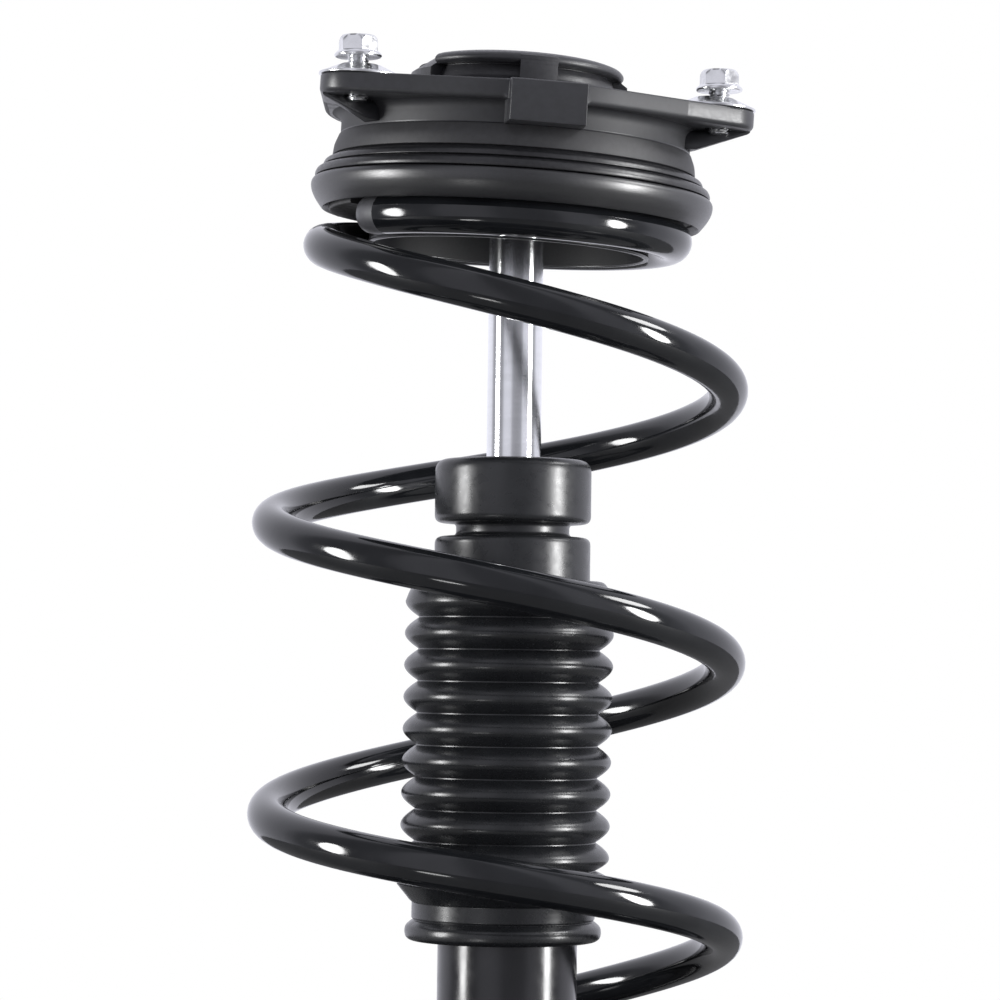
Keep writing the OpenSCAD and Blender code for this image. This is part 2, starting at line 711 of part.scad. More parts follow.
module bearing_upper_cover() {
    mid = bearing_z + bearing_h / 2;
    mid_r = (adapter_d / 2 + bearing_d / 2) / 2;
    color([0.1, 0.1, 0.11]) on_mount() difference() {
        revolve([
            [bearing_bore_d / 2, bearing_z], [bearing_d / 2 - 0.6, bearing_z],
            [bearing_d / 2, bearing_z + 0.8],
            [mid_r + 0.3, mid - line_w / 2], [mid_r - line_w, mid], [mid_r - 0.1, mid + line_w / 2],
            [adapter_d / 2 + 0.4, adapter_z - line_w], [adapter_d / 2 - line_w, adapter_z],
            [bearing_bore_d / 2, adapter_z]
        ]);
        ring(ball_circle_r + race_w / 2 + 0.5, ball_circle_r - race_w / 2 - 0.5,
            bearing_z - 1, upper_race_z + race_t);
    }
}
module bearing_adapter() {
    color([0.1, 0.1, 0.11]) on_mount() revolve([
        [bearing_bore_d / 2, adapter_z], [adapter_d / 2, adapter_z],
        [adapter_d / 2 - 0.4, adapter_z + adapter_h / 2], [wall_d / 2, housing_z],
        [bearing_bore_d / 2, housing_z]
    ]);
}

// Top mount: cast housing, rubber bush, cap and fasteners

meet = acos((flange_d - 2 * lobe_r) / bolt_circle_d);
function spot(r, a) = r * [cos(a), sin(a)];
function lobe_arc(a) = [for (k = [-4:4]) spot(bolt_circle_d / 2, a) + spot(lobe_r, a + k / 4 * meet)];
function disc_arc(a) = [for (k = [1:7]) spot(flange_d / 2, a + meet + k / 8 * (120 - 2 * meet))];
module flange_outline() {
    headings = [for (i = [0:2]) lobe_heading + 120 * i];
    polygon([for (a = headings) each concat(
        lobe_arc(a), [spot(flange_d / 2, a + meet)], disc_arc(a), [spot(flange_d / 2, a + 120 - meet)]
    )]);
}
module pad_outline() {
    rotate(pad_heading) translate([wall_d / 2 - 20, -pad_w / 2])
        square([pad_reach - wall_d / 2 + 20, pad_w]);
}
module lobe_gusset() {
    foot_r = lobe_r - 1;
    hull() {
        translate([bolt_circle_d / 2, 0, flange_under - 0.5]) cylinder(r = lobe_r - 1.7, h = 2, $fn = 32);
        translate([gusset_reach - foot_r, 0, housing_z + 1]) cylinder(r = foot_r, h = 6, $fn = 32);
    }
}
module mount_housing() {
    wall_r = wall_d / 2;
    color([0.13, 0.13, 0.14]) on_mount() difference() {
        union() {
            translate([0, 0, flange_under]) linear_extrude(flange_t) {
                flange_outline();
                pad_outline();
            }
            translate([0, 0, housing_z]) linear_extrude(flange_under - housing_z + 1) pad_outline();
            revolve(concat(
                [[0, housing_z], [wall_r, housing_z]],
                [for (a = [0:18:90])
                    [wall_r + wall_cove * (1 - cos(a)), flange_under - wall_cove * (1 - sin(a))]],
                [[wall_r + wall_cove, flange_under + 1], [0, flange_under + 1]]
            ));
            three_times() lobe_gusset();
        }
        translate([0, 0, housing_z + 3]) cylinder(r = bush_d / 2 + run_fit, h = big);
        translate([0, 0, -big / 2]) cylinder(r = bush_d / 2 - 5, h = big);
        three_times() translate([bolt_circle_d / 2, 0, -big / 2]) cylinder(r = bolt_hole_d / 2, h = big);
    }
}
module mount_bush() {
    bush_z = housing_z + 3;
    color([0.07, 0.07, 0.07]) on_mount() difference() {
        translate([0, 0, bush_z]) cylinder(r = bush_d / 2, h = -bush_z);
        sphere(r = core_d / 2 + run_fit, $fn = 96);
        translate([0, 0, -big / 2]) cylinder(r = rod_r + 4, h = big / 2 - 2);
    }
}
module web_blocks() {
    for (i = [0:web_count - 1]) rotate([0, 0, web_heading + 360 / web_count * i])
        translate([0, -web_w / 2, flange_top]) cube([lip_d, web_w, cap_h + 2]);
}
module mount_top_cap() {
    z0 = flange_top;
    top = flange_top + cap_h;
    lip_z = top - lip_h;
    in_r = bush_d / 2 + 1;
    lip_r = lip_d / 2;
    neck_r = neck_d / 2;
    bevel_z = top - bevel_h;
    slope = (web_reach - bevel_reach) / bevel_h;
    color([0.1, 0.1, 0.11]) on_mount() difference() {
        union() {
            revolve([
                [in_r, z0], [neck_r + 6, z0], [neck_r + 5, z0 + 2], [neck_r + 0.4, z0 + 6.6],
                [neck_r, z0 + 8], [neck_r, lip_z - 0.2], [lip_r - 1.4, lip_z], [lip_r - 0.2, lip_z + 1.4],
                [lip_r, lip_z + 2.8], [lip_r - 0.7, lip_z + 4], [lip_r - 2.8, top - 0.4],
                [lip_r - 5, top], [cap_hole_d / 2 + 1, top], [cap_hole_d / 2, top - 1],
                [cap_hole_d / 2, top - 4], [in_r, top - 6]
            ]);
            intersection() {
                ring(web_reach, neck_r - 1, z0, lip_z + 1);
                web_blocks();
            }
        }
        intersection() {
            revolve([
                [web_reach, z0 - 1], [lip_r + 10, z0 - 1], [lip_r + 10, top + 1],
                [bevel_reach - slope, top + 1], [web_reach, bevel_z]
            ]);
            web_blocks();
        }
    }
}
module mount_washers() {
    color([0.78, 0.79, 0.8]) on_mount() three_times()
        translate([bolt_circle_d / 2, 0, flange_top]) revolve([
            [lobe_r - 1.2, 0], [washer_d / 2, 0], [washer_d / 2, 0.9], [bolt_d / 2 + 3, washer_h],
            [bolt_d / 2 + lean_room, washer_h], [bolt_d / 2 + lean_room, washer_h - washer_t],
            [bolt_d / 2 + 2.6, washer_h - washer_t]
        ]);
}
module mount_bolts() {
    pivot = flange_top + washer_h - washer_t / 2;
    lift = washer_t / 2 + bolt_lift;
    color([0.78, 0.79, 0.8]) on_mount() for (i = [0:2]) rotate([0, 0, lobe_heading + 120 * i])
        translate([bolt_circle_d / 2, 0, pivot]) rotate([0, 0, -lobe_heading - 120 * i])
        rotate([0, bolt_lean, 0]) {
            translate([0, 0, -bolt_reach]) cylinder(r = bolt_d / 2, h = bolt_reach + lift + 1);
            translate([0, 0, lift]) cylinder(r = bolt_flange_d / 2, h = bolt_flange_t);
            translate([0, 0, lift + bolt_flange_t - overlap]) rotate([0, 0, hex_turn])
                hexagon(bolt_flats, bolt_head_h);
        }
}

// Rod group: rod, core, nut and piston

module piston_rod() {
    color([0.85, 0.85, 0.87]) difference() {
        union() {
            translate([0, 0, piston_top]) cylinder(r = rod_r, h = rod_shoulder_z - piston_top);
            translate([0, 0, tail_z]) cylinder(r = rod_tail_d / 2, h = piston_top - tail_z + 1);
            translate([0, 0, rod_shoulder_z - 1])
                cylinder(r = rod_tip_d / 2, h = rod_tip_z - rod_shoulder_z + 1);
        }
        translate([0, 0, rod_tip_z - 6]) hexagon(key_flats, 10);
    }
}
module bush_core() {
    color([0.5, 0.5, 0.52]) difference() {
        intersection() {
            translate([0, 0, mount_height]) sphere(r = core_d / 2, $fn = 96);
            translate([0, 0, rod_shoulder_z]) cylinder(r = core_d, h = core_bottom + core_top);
        }
        translate([0, 0, mount_height - big / 2]) cylinder(r = rod_tip_d / 2 + run_fit, h = big);
    }
}
module rod_nut_washer() {
    z0 = mount_height + core_top;
    color([0.7, 0.7, 0.72]) ring(core_d / 2 - 2, rod_tip_d / 2 + run_fit, z0, z0 + nut_washer_t);
}
module rod_top_nut() {
    z0 = mount_height + core_top + nut_washer_t;
    color([0.7, 0.7, 0.72]) difference() {
        translate([0, 0, z0]) hexagon(nut_flats, nut_h);
        translate([0, 0, z0 - 1]) cylinder(r = rod_tip_d / 2 + run_fit, h = nut_h + 2);
    }
}
module rebound_stop() {
    color([0.15, 0.15, 0.15]) ring(pressure_r - 1.5, rod_r + run_fit, rebound_z, rebound_top);
}
module piston() {
    mid = piston_z + piston_h / 2;
    color([0.5, 0.48, 0.44]) difference() {
        ring(pressure_r - 0.5, rod_tail_d / 2 + run_fit, piston_z, piston_top);
        ring(pressure_r + 1, pressure_r - 0.5 - band_t, mid - band_h / 2, mid + band_h / 2);
        for (i = [0:5]) rotate([0, 0, 60 * i]) translate([pressure_r * 0.62, 0, piston_z - 1])
            cylinder(r = 1.4, h = piston_h + 2);
    }
}
module piston_band() {
    mid = piston_z + piston_h / 2;
    color([0.3, 0.25, 0.2]) ring(pressure_r - run_fit, pressure_r - 0.5 - band_t + run_fit,
        mid - band_h / 2 + run_fit, mid + band_h / 2 - run_fit);
}
module piston_nut() {
    color([0.6, 0.6, 0.62]) difference() {
        translate([0, 0, piston_z - piston_nut_h]) hexagon(rod_tail_d * 1.6, piston_nut_h);
        translate([0, 0, piston_z - piston_nut_h - 1])
            cylinder(r = rod_tail_d / 2 + run_fit, h = piston_nut_h + 2);
    }
}

strut_tube();
tube_base();
pressure_tube();
base_valve();
rod_guide();
rod_seal();
striker_cap();
bump_stop();
dust_boot();
coil_spring();
lower_spring_seat();
lower_seat_pad();
knuckle_bracket();
sway_bar_link_bracket();
brake_hose_bracket();
upper_spring_seat();
upper_seat_pad();
bearing_lower_race();
bearing_balls();
ball_cage();
bearing_upper_race();
bearing_upper_cover();
bearing_adapter();
mount_housing();
mount_bush();
mount_top_cap();
mount_bolts();
mount_washers();
piston_rod();
bush_core();
rod_nut_washer();
rod_top_nut();
rebound_stop();
piston();
piston_band();
piston_nut();
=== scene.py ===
import json
import math

import bmesh
import bpy
from mathutils import Matrix, Vector


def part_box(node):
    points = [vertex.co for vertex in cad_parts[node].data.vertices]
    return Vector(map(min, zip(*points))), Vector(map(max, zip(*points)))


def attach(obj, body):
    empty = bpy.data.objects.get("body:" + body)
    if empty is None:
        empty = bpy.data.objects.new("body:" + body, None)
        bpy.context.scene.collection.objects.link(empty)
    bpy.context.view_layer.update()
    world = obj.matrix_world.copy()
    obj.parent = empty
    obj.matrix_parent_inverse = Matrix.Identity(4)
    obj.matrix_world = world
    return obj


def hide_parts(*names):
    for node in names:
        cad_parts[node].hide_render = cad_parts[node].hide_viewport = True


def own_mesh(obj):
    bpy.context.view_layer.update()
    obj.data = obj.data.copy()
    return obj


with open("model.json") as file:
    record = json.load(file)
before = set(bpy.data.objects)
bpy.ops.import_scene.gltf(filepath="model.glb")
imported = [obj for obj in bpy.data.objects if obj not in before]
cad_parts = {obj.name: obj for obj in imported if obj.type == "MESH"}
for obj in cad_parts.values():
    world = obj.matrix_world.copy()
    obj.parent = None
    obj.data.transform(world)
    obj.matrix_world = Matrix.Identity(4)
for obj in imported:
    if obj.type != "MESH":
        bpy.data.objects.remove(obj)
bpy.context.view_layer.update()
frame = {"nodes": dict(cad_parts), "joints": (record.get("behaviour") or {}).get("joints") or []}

cad_nodes = frame["nodes"]

# Studio: a white world whose broad grey bands only reflections see. Two tall soft boxes flank the
# strut, one hangs over its right and a small low lamp lights the coils from below. The lens is long.

studio_camera = bpy.data.objects.new("studio_camera", bpy.data.cameras.new("studio_camera"))
studio_camera.data.lens = 126
studio_camera.data.sensor_width = 36
studio_camera.data.shift_x = -0.0131
studio_camera.matrix_world = (
    Matrix.Translation((0, -1.2845, 0.361862))
    @ Matrix.Rotation(math.radians(92.683), 4, "X")
    @ Matrix.Rotation(math.radians(0.75), 4, "Z")
)
bpy.context.scene.collection.objects.link(studio_camera)
bpy.context.scene.camera = studio_camera
bpy.context.scene.view_settings.view_transform = "Standard"
STRUT_MIDDLE, TALL_BOX = Vector((0, 0, 0.4)), 0.5


def soft_box(name, azimuth, distance, height, width, tall, radiance):
    """A lamp that faces the strut, upright if it is tall. Azimuth counts to the camera's right."""
    lamp = bpy.data.objects.new(name, bpy.data.lights.new(name, "AREA"))
    lamp.data.shape = "ELLIPSE"
    lamp.data.size, lamp.data.size_y = width, tall
    lamp.data.energy = radiance * math.pi * width * tall * math.pi / 4
    side = math.radians(azimuth)
    lamp.location = (distance * math.sin(side), -distance * math.cos(side), height)
    aim = STRUT_MIDDLE - lamp.location
    if tall > TALL_BOX:
        aim.z = 0
    lamp.rotation_euler = aim.to_track_quat("-Z", "Y").to_euler()
    lamp.visible_camera = False
    bpy.context.scene.collection.objects.link(lamp)


soft_box("left_box", -76.5, 1.6, 0.5, width=0.42, tall=1.0, radiance=24)
soft_box("right_box", 69, 1.6, 0.5, width=0.4, tall=1.0, radiance=34)
soft_box("top_box", 84, 1.25, 1.4, width=0.6, tall=0.45, radiance=16)
soft_box("low_lamp", -30, 0.6, 0.04, width=0.16, tall=0.06, radiance=10)


def join(tree, *steps):
    """Links nodes in steps of (node, its output, next node, its input)."""
    for node, output, ahead, entry in steps:
        tree.links.new(node.outputs[output], ahead.inputs[entry])


def math_node(tree, operation):
    """One step of arithmetic."""
    node = tree.nodes.new("ShaderNodeMath")
    node.operation = operation
    return node


def range_node(tree, from_min, from_max, to_min, to_max):
    """Stretches one range of numbers to another."""
    node = tree.nodes.new("ShaderNodeMapRange")
    for socket, value in (
        ("From Min", from_min), ("From Max", from_max), ("To Min", to_min), ("To Max", to_max),
    ):
        node.inputs[socket].default_value = value
    return node


def camera_colour(tree, seen, target):
    """Gives a target one colour for the camera. The socket that returns takes all other rays'."""
    mix = tree.nodes.new("ShaderNodeMix")
    mix.data_type = "RGBA"
    path = tree.nodes.new("ShaderNodeLightPath")
    others, camera = [socket for socket in mix.inputs if socket.type == "RGBA"]
    camera.default_value = (*seen, 1)
    join(tree, (path, "Is Camera Ray", mix, 0))
    tree.links.new(next(socket for socket in mix.outputs if socket.type == "RGBA"), target)
    return others


studio_world = bpy.data.worlds.new("studio_world")
bpy.context.scene.world = studio_world
studio_world.use_nodes = True
sky = studio_world.node_tree
sky.nodes.clear()
sky_out = sky.nodes.new("ShaderNodeOutputWorld")
sky_light = sky.nodes.new("ShaderNodeBackground")
camera_colour(sky, (1, 1, 1), sky_light.inputs["Color"]).default_value = (0.97, 0.97, 1.07, 1)
sky_path = sky.nodes.new("ShaderNodeLightPath")
sky_place = sky.nodes.new("ShaderNodeTexCoord")
sky_axes = sky.nodes.new("ShaderNodeSeparateXYZ")
sky_front = math_node(sky, "MULTIPLY")
sky_front.inputs[1].default_value = -1
sky_turn = math_node(sky, "ARCTAN2")
sky_round = range_node(sky, -math.pi, math.pi, 0.0, 1.0)
sky_bands = sky.nodes.new("ShaderNodeValToRGB")
sky_bands.color_ramp.interpolation = "B_SPLINE"
sky_stops = sky_bands.color_ramp.elements
for azimuth, strength in (
    (-114, 1.0), (-100, 0.26), (-54, 0.26), (-44, 0.8), (-16, 0.8), (-6, 0.34), (28, 0.34),
    (36, 0.85), (58, 0.85), (66, 0.26), (88, 0.26), (102, 1.0),
):
    stop = sky_stops.new(azimuth / 360 + 0.5)
    stop.color = (strength, strength, strength, 1)
sky_stops[0].color = sky_stops[-1].color = (1, 1, 1, 1)
sky_mirror = math_node(sky, "MAXIMUM")
sky_fill, sky_seen = sky.nodes.new("ShaderNodeMix"), sky.nodes.new("ShaderNodeMix")
sky_fill.inputs["A"].default_value = 0.32
sky_seen.inputs["B"].default_value = 1.0
join(
    sky, (sky_place, "Generated", sky_axes, 0), (sky_axes, "Y", sky_front, 0), (sky_axes, "X", sky_turn, 0),
    (sky_front, 0, sky_turn, 1), (sky_turn, 0, sky_round, "Value"), (sky_round, "Result", sky_bands, 0),
    (sky_path, "Is Glossy Ray", sky_mirror, 0), (sky_path, "Is Transmission Ray", sky_mirror, 1),
    (sky_mirror, 0, sky_fill, "Factor"), (sky_bands, "Color", sky_fill, "B"),
    (sky_path, "Is Camera Ray", sky_seen, "Factor"), (sky_fill, "Result", sky_seen, "A"),
    (sky_seen, "Result", sky_light, "Strength"), (sky_light, 0, sky_out, "Surface"),
)

studio_floor = bpy.data.objects.new("studio_floor", bpy.data.meshes.new("studio_floor"))
FLOOR_R, FLOOR_Z, FLOOR_SIDES = 1.3, -0.0005, 64
floor_turns = [2 * math.pi * i / FLOOR_SIDES for i in range(FLOOR_SIDES)]
studio_floor.data.from_pydata(
    [(FLOOR_R * math.cos(turn), FLOOR_R * math.sin(turn), FLOOR_Z) for turn in floor_turns],
    [], [list(range(FLOOR_SIDES))],
)
bpy.context.scene.collection.objects.link(studio_floor)

# Outer tube of the damper: cold drawn steel, 51 mm across, with the lip rolled in over the seal at
# the top. It is dipped in gloss black enamel, which keeps a faint orange peel.

NEARLY_ROUND, LEAST_FILLET, EDGE_SHARE = 359, 0.02, 0.48
GRAIN_LOW, GRAIN_HIGH = 0.35, 0.65


def put(name, mesh):
    """A piece with its place in its mesh, shown in the scene."""
    piece = bpy.data.objects.new(name, mesh)
    bpy.context.scene.collection.objects.link(piece)
    return piece


def rounded(corners, steps=4):
    """A closed outline from (distance from the axis, height, fillet) corners, all in millimetres."""
    line = []
    for i, (r, z, fillet) in enumerate(corners):
        corner = Vector((r, z))
        back = Vector(corners[i - 1][:2]) - corner
        ahead = Vector(corners[(i + 1) % len(corners)][:2]) - corner
        cut = min(fillet, EDGE_SHARE * back.length, EDGE_SHARE * ahead.length)
        if cut < LEAST_FILLET:
            line.append(corner)
            continue
        start, end = corner + back.normalized() * cut, corner + ahead.normalized() * cut
        for k in range(steps + 1):
            t = k / steps
            line.append(start * (1 - t) ** 2 + corner * 2 * t * (1 - t) + end * t * t)
    return line


def crease(mesh, angle=32):
    """Smooth faces, with an edge kept sharp where the surface really turns."""
    mesh.polygons.foreach_set("use_smooth", [True] * len(mesh.polygons))
    mesh.set_sharp_from_angle(angle=math.radians(angle))


def around(r, angle, z):
    """A place in metres, from its distance from the axis and its height in millimetres."""
    return r * math.cos(angle) / 1000, r * math.sin(angle) / 1000, z / 1000


def skin(shell, rings, closed=False):
    """Faces between rings of equal length, and from the last to the first if closed."""
    for i in range(len(rings) - (0 if closed else 1)):
        a, b = rings[i], rings[(i + 1) % len(rings)]
        for j in range(len(a)):
            k = (j + 1) % len(a)
            shell.faces.new((a[j], a[k], b[k], b[j]))


def shell_piece(name, shell, angle=32):
    """Turns a shell into a piece."""
    mesh = bpy.data.meshes.new(name)
    shell.to_mesh(mesh)
    shell.free()
    crease(mesh, angle)
    return put(name, mesh)


def turned(name, line, place=None, sides=192, headings=None, shape=None):
    """Turns an outline round Z. shape(heading, r, z) may move a point out or in as it goes round."""
    turns = headings or [360 * i / sides for i in range(sides)]
    shell = bmesh.new()
    rings = []
    for heading in turns:
        far = [shape(heading, r, z) if shape else r for r, z in line]
        rings.append([shell.verts.new(around(r, math.radians(heading), z)) for r, (_, z) in zip(far, line)])
    closed = headings is None or turns[-1] - turns[0] > NEARLY_ROUND
    skin(shell, rings, closed)
    if not closed:
        shell.faces.new(rings[0])
        shell.faces.new(list(reversed(rings[-1])))
    bmesh.ops.remove_doubles(shell, verts=shell.verts, dist=1e-6)
    bmesh.ops.dissolve_degenerate(shell, edges=shell.edges, dist=1e-7)
    bmesh.ops.recalc_face_normals(shell, faces=shell.faces)
    if place is not None:
        shell.transform(place)
    return shell_piece(name, shell)


def speckle(tree, scale, detail, stretch=(1, 1, 1)):
    """Noise on the piece's own coordinates. Scale counts its features in a metre."""
    place = tree.nodes.new("ShaderNodeTexCoord")
    mapping = tree.nodes.new("ShaderNodeMapping")
    mapping.inputs["Scale"].default_value = stretch
    texture = tree.nodes.new("ShaderNodeTexNoise")
    texture.inputs["Scale"].default_value = scale
    texture.inputs["Detail"].default_value = detail
    join(tree, (place, "Object", mapping, "Vector"), (mapping, "Vector", texture, "Vector"))
    return texture


def finish(name, colour, roughness, tint=None, gloss=None, relief=(), **sockets):
    """A material with its plain values on the shader's own sockets, varied by grains.

    Tint is a grain, its dark and its light colour. Gloss is a grain, its least and its most
    roughness. Relief is a list of grains with their heights in thousandths of a millimetre.
    """
    material = bpy.data.materials.new(name)
    material.use_nodes = True
    tree = material.node_tree
    shader = tree.nodes["Principled BSDF"]
    shader.inputs["Base Color"].default_value = (*colour, 1)
    shader.inputs["Roughness"].default_value = roughness
    for socket, value in sockets.items():
        shader.inputs[socket.replace("_", " ")].default_value = value
    if tint:
        grain, *colours = tint
        ramp = tree.nodes.new("ShaderNodeValToRGB")
        for stop, place, shade in zip(ramp.color_ramp.elements, (GRAIN_LOW, GRAIN_HIGH), colours):
            stop.position, stop.color = place, (*shade, 1)
        join(tree, (speckle(tree, *grain), 0, ramp, 0), (ramp, 0, shader, "Base Color"))
    if gloss:
        grain, least, most = gloss
        reach = range_node(tree, GRAIN_LOW, GRAIN_HIGH, least, most)
        join(tree, (speckle(tree, *grain), 0, reach, "Value"), (reach, "Result", shader, "Roughness"))
    for grain, height in relief:
        bump = tree.nodes.new("ShaderNodeBump")
        bump.inputs["Strength"].default_value = 1
        bump.inputs["Distance"].default_value = height / 1e6
        if shader.inputs["Normal"].is_linked:
            tree.links.new(shader.inputs["Normal"].links[0].from_socket, bump.inputs["Normal"])
        join(tree, (speckle(tree, *grain), 0, bump, "Height"), (bump, "Normal", shader, "Normal"))
    return material


def dress(piece, material, body, slot, *stands_for):
    """Gives a piece its finish and its body, and hides the CAD solids it stands for. Slot, the record's name
    for the finish, is not used.
    """
    piece.data.materials.clear()
    piece.data.materials.append(material)
    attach(piece, body)
    if stands_for:
        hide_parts(*stands_for)


gloss_enamel = finish(
    "gloss_black_enamel", (0.010, 0.0106, 0.012), 0.27,
    tint=((60, 5), (0.009, 0.0092, 0.0105), (0.013, 0.0132, 0.015)), gloss=((140, 4), 0.15, 0.24),
    relief=[((320, 2), 12), ((2600, 1), 1.5)],
)


def enamelled(piece, *stands_for):
    """Paints a piece of the strut's body in its gloss enamel."""
    dress(piece, gloss_enamel, "strut_body", "gloss_black_paint", *stands_for)


TUBE_R, TUBE_BORE, TUBE_TOP, LIP_BORE, LIP = 25.5, 23.5, 365, 20.5, 2
ON_TUBE = TUBE_R + 0.05
tube_outline = rounded([
    (TUBE_BORE, 0, 0.5), (TUBE_R, 0, 0.7), (TUBE_R, TUBE_TOP, 1.6), (LIP_BORE, TUBE_TOP, 0.8),
    (LIP_BORE, TUBE_TOP - LIP, 0), (TUBE_BORE, TUBE_TOP - LIP, 0),
])
enamelled(turned("outer_tube", tube_outline), "strut_tube")

# Base of the tube: a pressed steel disc pushed into the tube's foot and welded round its edge,
# with a shallow ring pressed in to stiffen it. It is painted with the tube.

base_outline = rounded([
    (0, 0.5, 0), (7, 0.5, 1), (10, 1.6, 1.5), (15, 1.6, 1.5), (18, 0, 1.2),
    (23.4, 0, 0.5), (23.4, 4, 0), (0, 4, 0),
])
enamelled(turned("tube_foot", base_outline), "tube_base")

# Damper internals: ground pressure tube, sintered valve, guide and piston, turned stop and nut,
# and the rubber seal. They stay out of sight in the tube and keep the shapes of the real parts.

ground_steel = finish(
    "oiled_turned_steel", (0.5, 0.5, 0.52), 0.28, tint=((90, 4), (0.42, 0.42, 0.44), (0.56, 0.56, 0.57)),
    gloss=((700, 3, (1, 1, 12)), 0.2, 0.36), relief=[((400, 2, (1, 1, 30)), 4)], Metallic=1.0,
)

sintered_iron = finish(
    "sintered_iron", (0.38, 0.37, 0.35), 0.55, tint=((900, 4), (0.26, 0.25, 0.24), (0.42, 0.41, 0.39)),
    relief=[((2500, 3), 20)], Metallic=1.0,
)

seal_rubber = finish(
    "oil_seal_rubber", (0.03, 0.03, 0.03), 0.5, gloss=((500, 3), 0.42, 0.58), relief=[((1500, 2), 8)],
)

band_polymer = finish(
    "bronze_filled_polymer", (0.2, 0.13, 0.08), 0.4,
    tint=((1800, 3), (0.15, 0.10, 0.06), (0.26, 0.17, 0.10)), relief=[((2000, 2), 6)],
)


def coat_solids(material, *nodes):
    """Gives hidden CAD solids their finish."""
    for node in nodes:
        cad_nodes[node].data.materials.clear()
        cad_nodes[node].data.materials.append(material)


coat_solids(ground_steel, "pressure_tube", "rebound_stop", "piston_nut")
coat_solids(sintered_iron, "base_valve", "rod_guide", "piston")
coat_solids(seal_rubber, "rod_seal")
coat_solids(band_polymer, "piston_band")

# Striker cap: a steel cup pressed over the tube's top, which the bump stop lands on. The mouth is
# slightly belled and the top is coined flat round the rod's hole.

CUP_TOP = 369
cup_outline = rounded([
    (ON_TUBE, 351, 0.3), (27.6, 351, 0.6), (27.55, 353, 0.8), (27.55, CUP_TOP, 1.8), (22, CUP_TOP, 0.6),
    (21, 368.6, 0.4), (11, 368.6, 0.6), (11, TUBE_TOP, 0.3), (ON_TUBE, TUBE_TOP, 0),
])
enamelled(turned("striker_cup", cup_outline), "striker_cap")

# Bump stop: moulded cellular rubber, threaded on the rod over the striker cap. Two fat lobes with
# round edges fold together as the strut closes, and the mould leaves a satin skin.

stop_rubber = finish(
    "cellular_rubber", (0.014, 0.0148, 0.0165), 0.24,
    tint=((160, 5), (0.0125, 0.0132, 0.0148), (0.0155, 0.0164, 0.0182)), gloss=((300, 3), 0.26, 0.33),
    relief=[((2200, 2), 2), ((160, 2), 6)],
)

STOP_BORE, WAIST_R = 10.1, 20.8
stop_outline = rounded([
    (STOP_BORE, CUP_TOP, 0.4), (25, CUP_TOP, 1.5), (25, 378.7, 2.4), (WAIST_R, 379.4, 1.4),
    (WAIST_R, 384.2, 1.4), (28.6, 384.9, 2.6), (28.6, 408.1, 2.6), (WAIST_R, 408.8, 1.4),
    (WAIST_R, 412.9, 1.4), (28.7, 413.6, 2.6), (28.7, 436.7, 4.6), (12.5, 436.7, 1.2),
    (STOP_BORE, 435.5, 0.8),
], 6)
dress(turned("bump_stop_rubber", stop_outline), stop_rubber, "strut_body", "stop_rubber", "bump_stop")

# Dust boot: a blow moulded rubber sleeve with nine ribs, a wider flare, a plain collar and a
# rolled rim. Its top grips the bump stop and its rim hangs round the tube, clear of it.

boot_rubber = finish(
    "boot_rubber", (0.010, 0.0107, 0.0122), 0.27,
    tint=((110, 5), (0.009, 0.0096, 0.011), (0.0115, 0.0123, 0.014)), gloss=((300, 4), 0.24, 0.31),
    relief=[((1800, 3), 0.8), ((130, 2, (1, 1, 0.4)), 12)],
)

RIB_R, VALLEY_R, FLARE_R, BOOT_WALL = 38.3, 33.0, 39.8, 1.6
FIRST_RIB, RIB_PITCH, RIBS, FLARE_DROP = 384.5, 11.65, 9, 9.0
VALLEY_HALF, CREST_SHARPNESS = 0.016, 0.95


def boot_side(inset, steps=20):
    """One wall of the ribs: round crests with a sharp valley between them, then the flare."""
    side = []
    for k in range(RIBS):
        last = k == RIBS - 1
        drop, below = (FLARE_DROP, FLARE_R) if last else (RIB_PITCH, RIB_R)
        places = [i / steps for i in range(steps) if i * 2 != steps] + [0.5 - VALLEY_HALF, 0.5 + VALLEY_HALF]
        for t in sorted(places + [1] * last):
            crest = RIB_R if t < 0.5 else below
            r = VALLEY_R + (crest - VALLEY_R) * abs(math.cos(math.pi * t)) ** CREST_SHARPNESS
            side.append(Vector((r - inset, FIRST_RIB - k * RIB_PITCH - t * drop)))
    return side


boot_outside, boot_inside = boot_side(0), boot_side(BOOT_WALL)
boot_head = rounded([(28.9, 392.6, 0.5), (34.4, 392.2, 1.6), (36.6, 389.0, 2.2), (38.2, 385.2, 0)])
boot_foot = rounded([
    (39.3, 281.4, 0.6), (38.6, 280.7, 1.0), (34.2, 275.4, 1.0), (33.5, 275.0, 0.8), (33.5, 269.1, 0.5),
    (32.8, 268.6, 0.4), (33.6, 268.1, 0.5), (35.6, 266.4, 1.0), (36, 264.5, 1.6), (35.6, 262.2, 1.2),
    (34, 261.1, 0.8), (27.6, 261.1, 0.4), (27.6, 262.9, 0.4), (31.9, 263.3, 0.5), (31.9, 274.6, 0.8),
    (37.9, 281.6, 0.4),
])
boot_outline = boot_head[:-1] + boot_outside + boot_foot + list(reversed(boot_inside)) + rounded(
    [(35.9, 386, 0), (33.4, 390.4, 0.4), (28.9, 391, 0)]
)
boot_sleeve = turned("dust_boot_rubber", boot_outline, sides=160)
SIDEWAYS, LEAN, LEAN_FROM, LEAN_OVER = 0.0006, 0.0012, 0.385, 0.123
for vertex in boot_sleeve.data.vertices:
    vertex.co.x -= SIDEWAYS + LEAN * (LEAN_FROM - vertex.co.z) / LEAN_OVER
dress(boot_sleeve, boot_rubber, "strut_body", "boot_rubber", "dust_boot")

# Coil spring: 14.6 mm spring steel wire, wound left-handed and powder coated gloss black. The top
# turn is narrow and lies flat under the upper seat, then the wire opens to the full coil. Its tip
# keeps its grey primer.

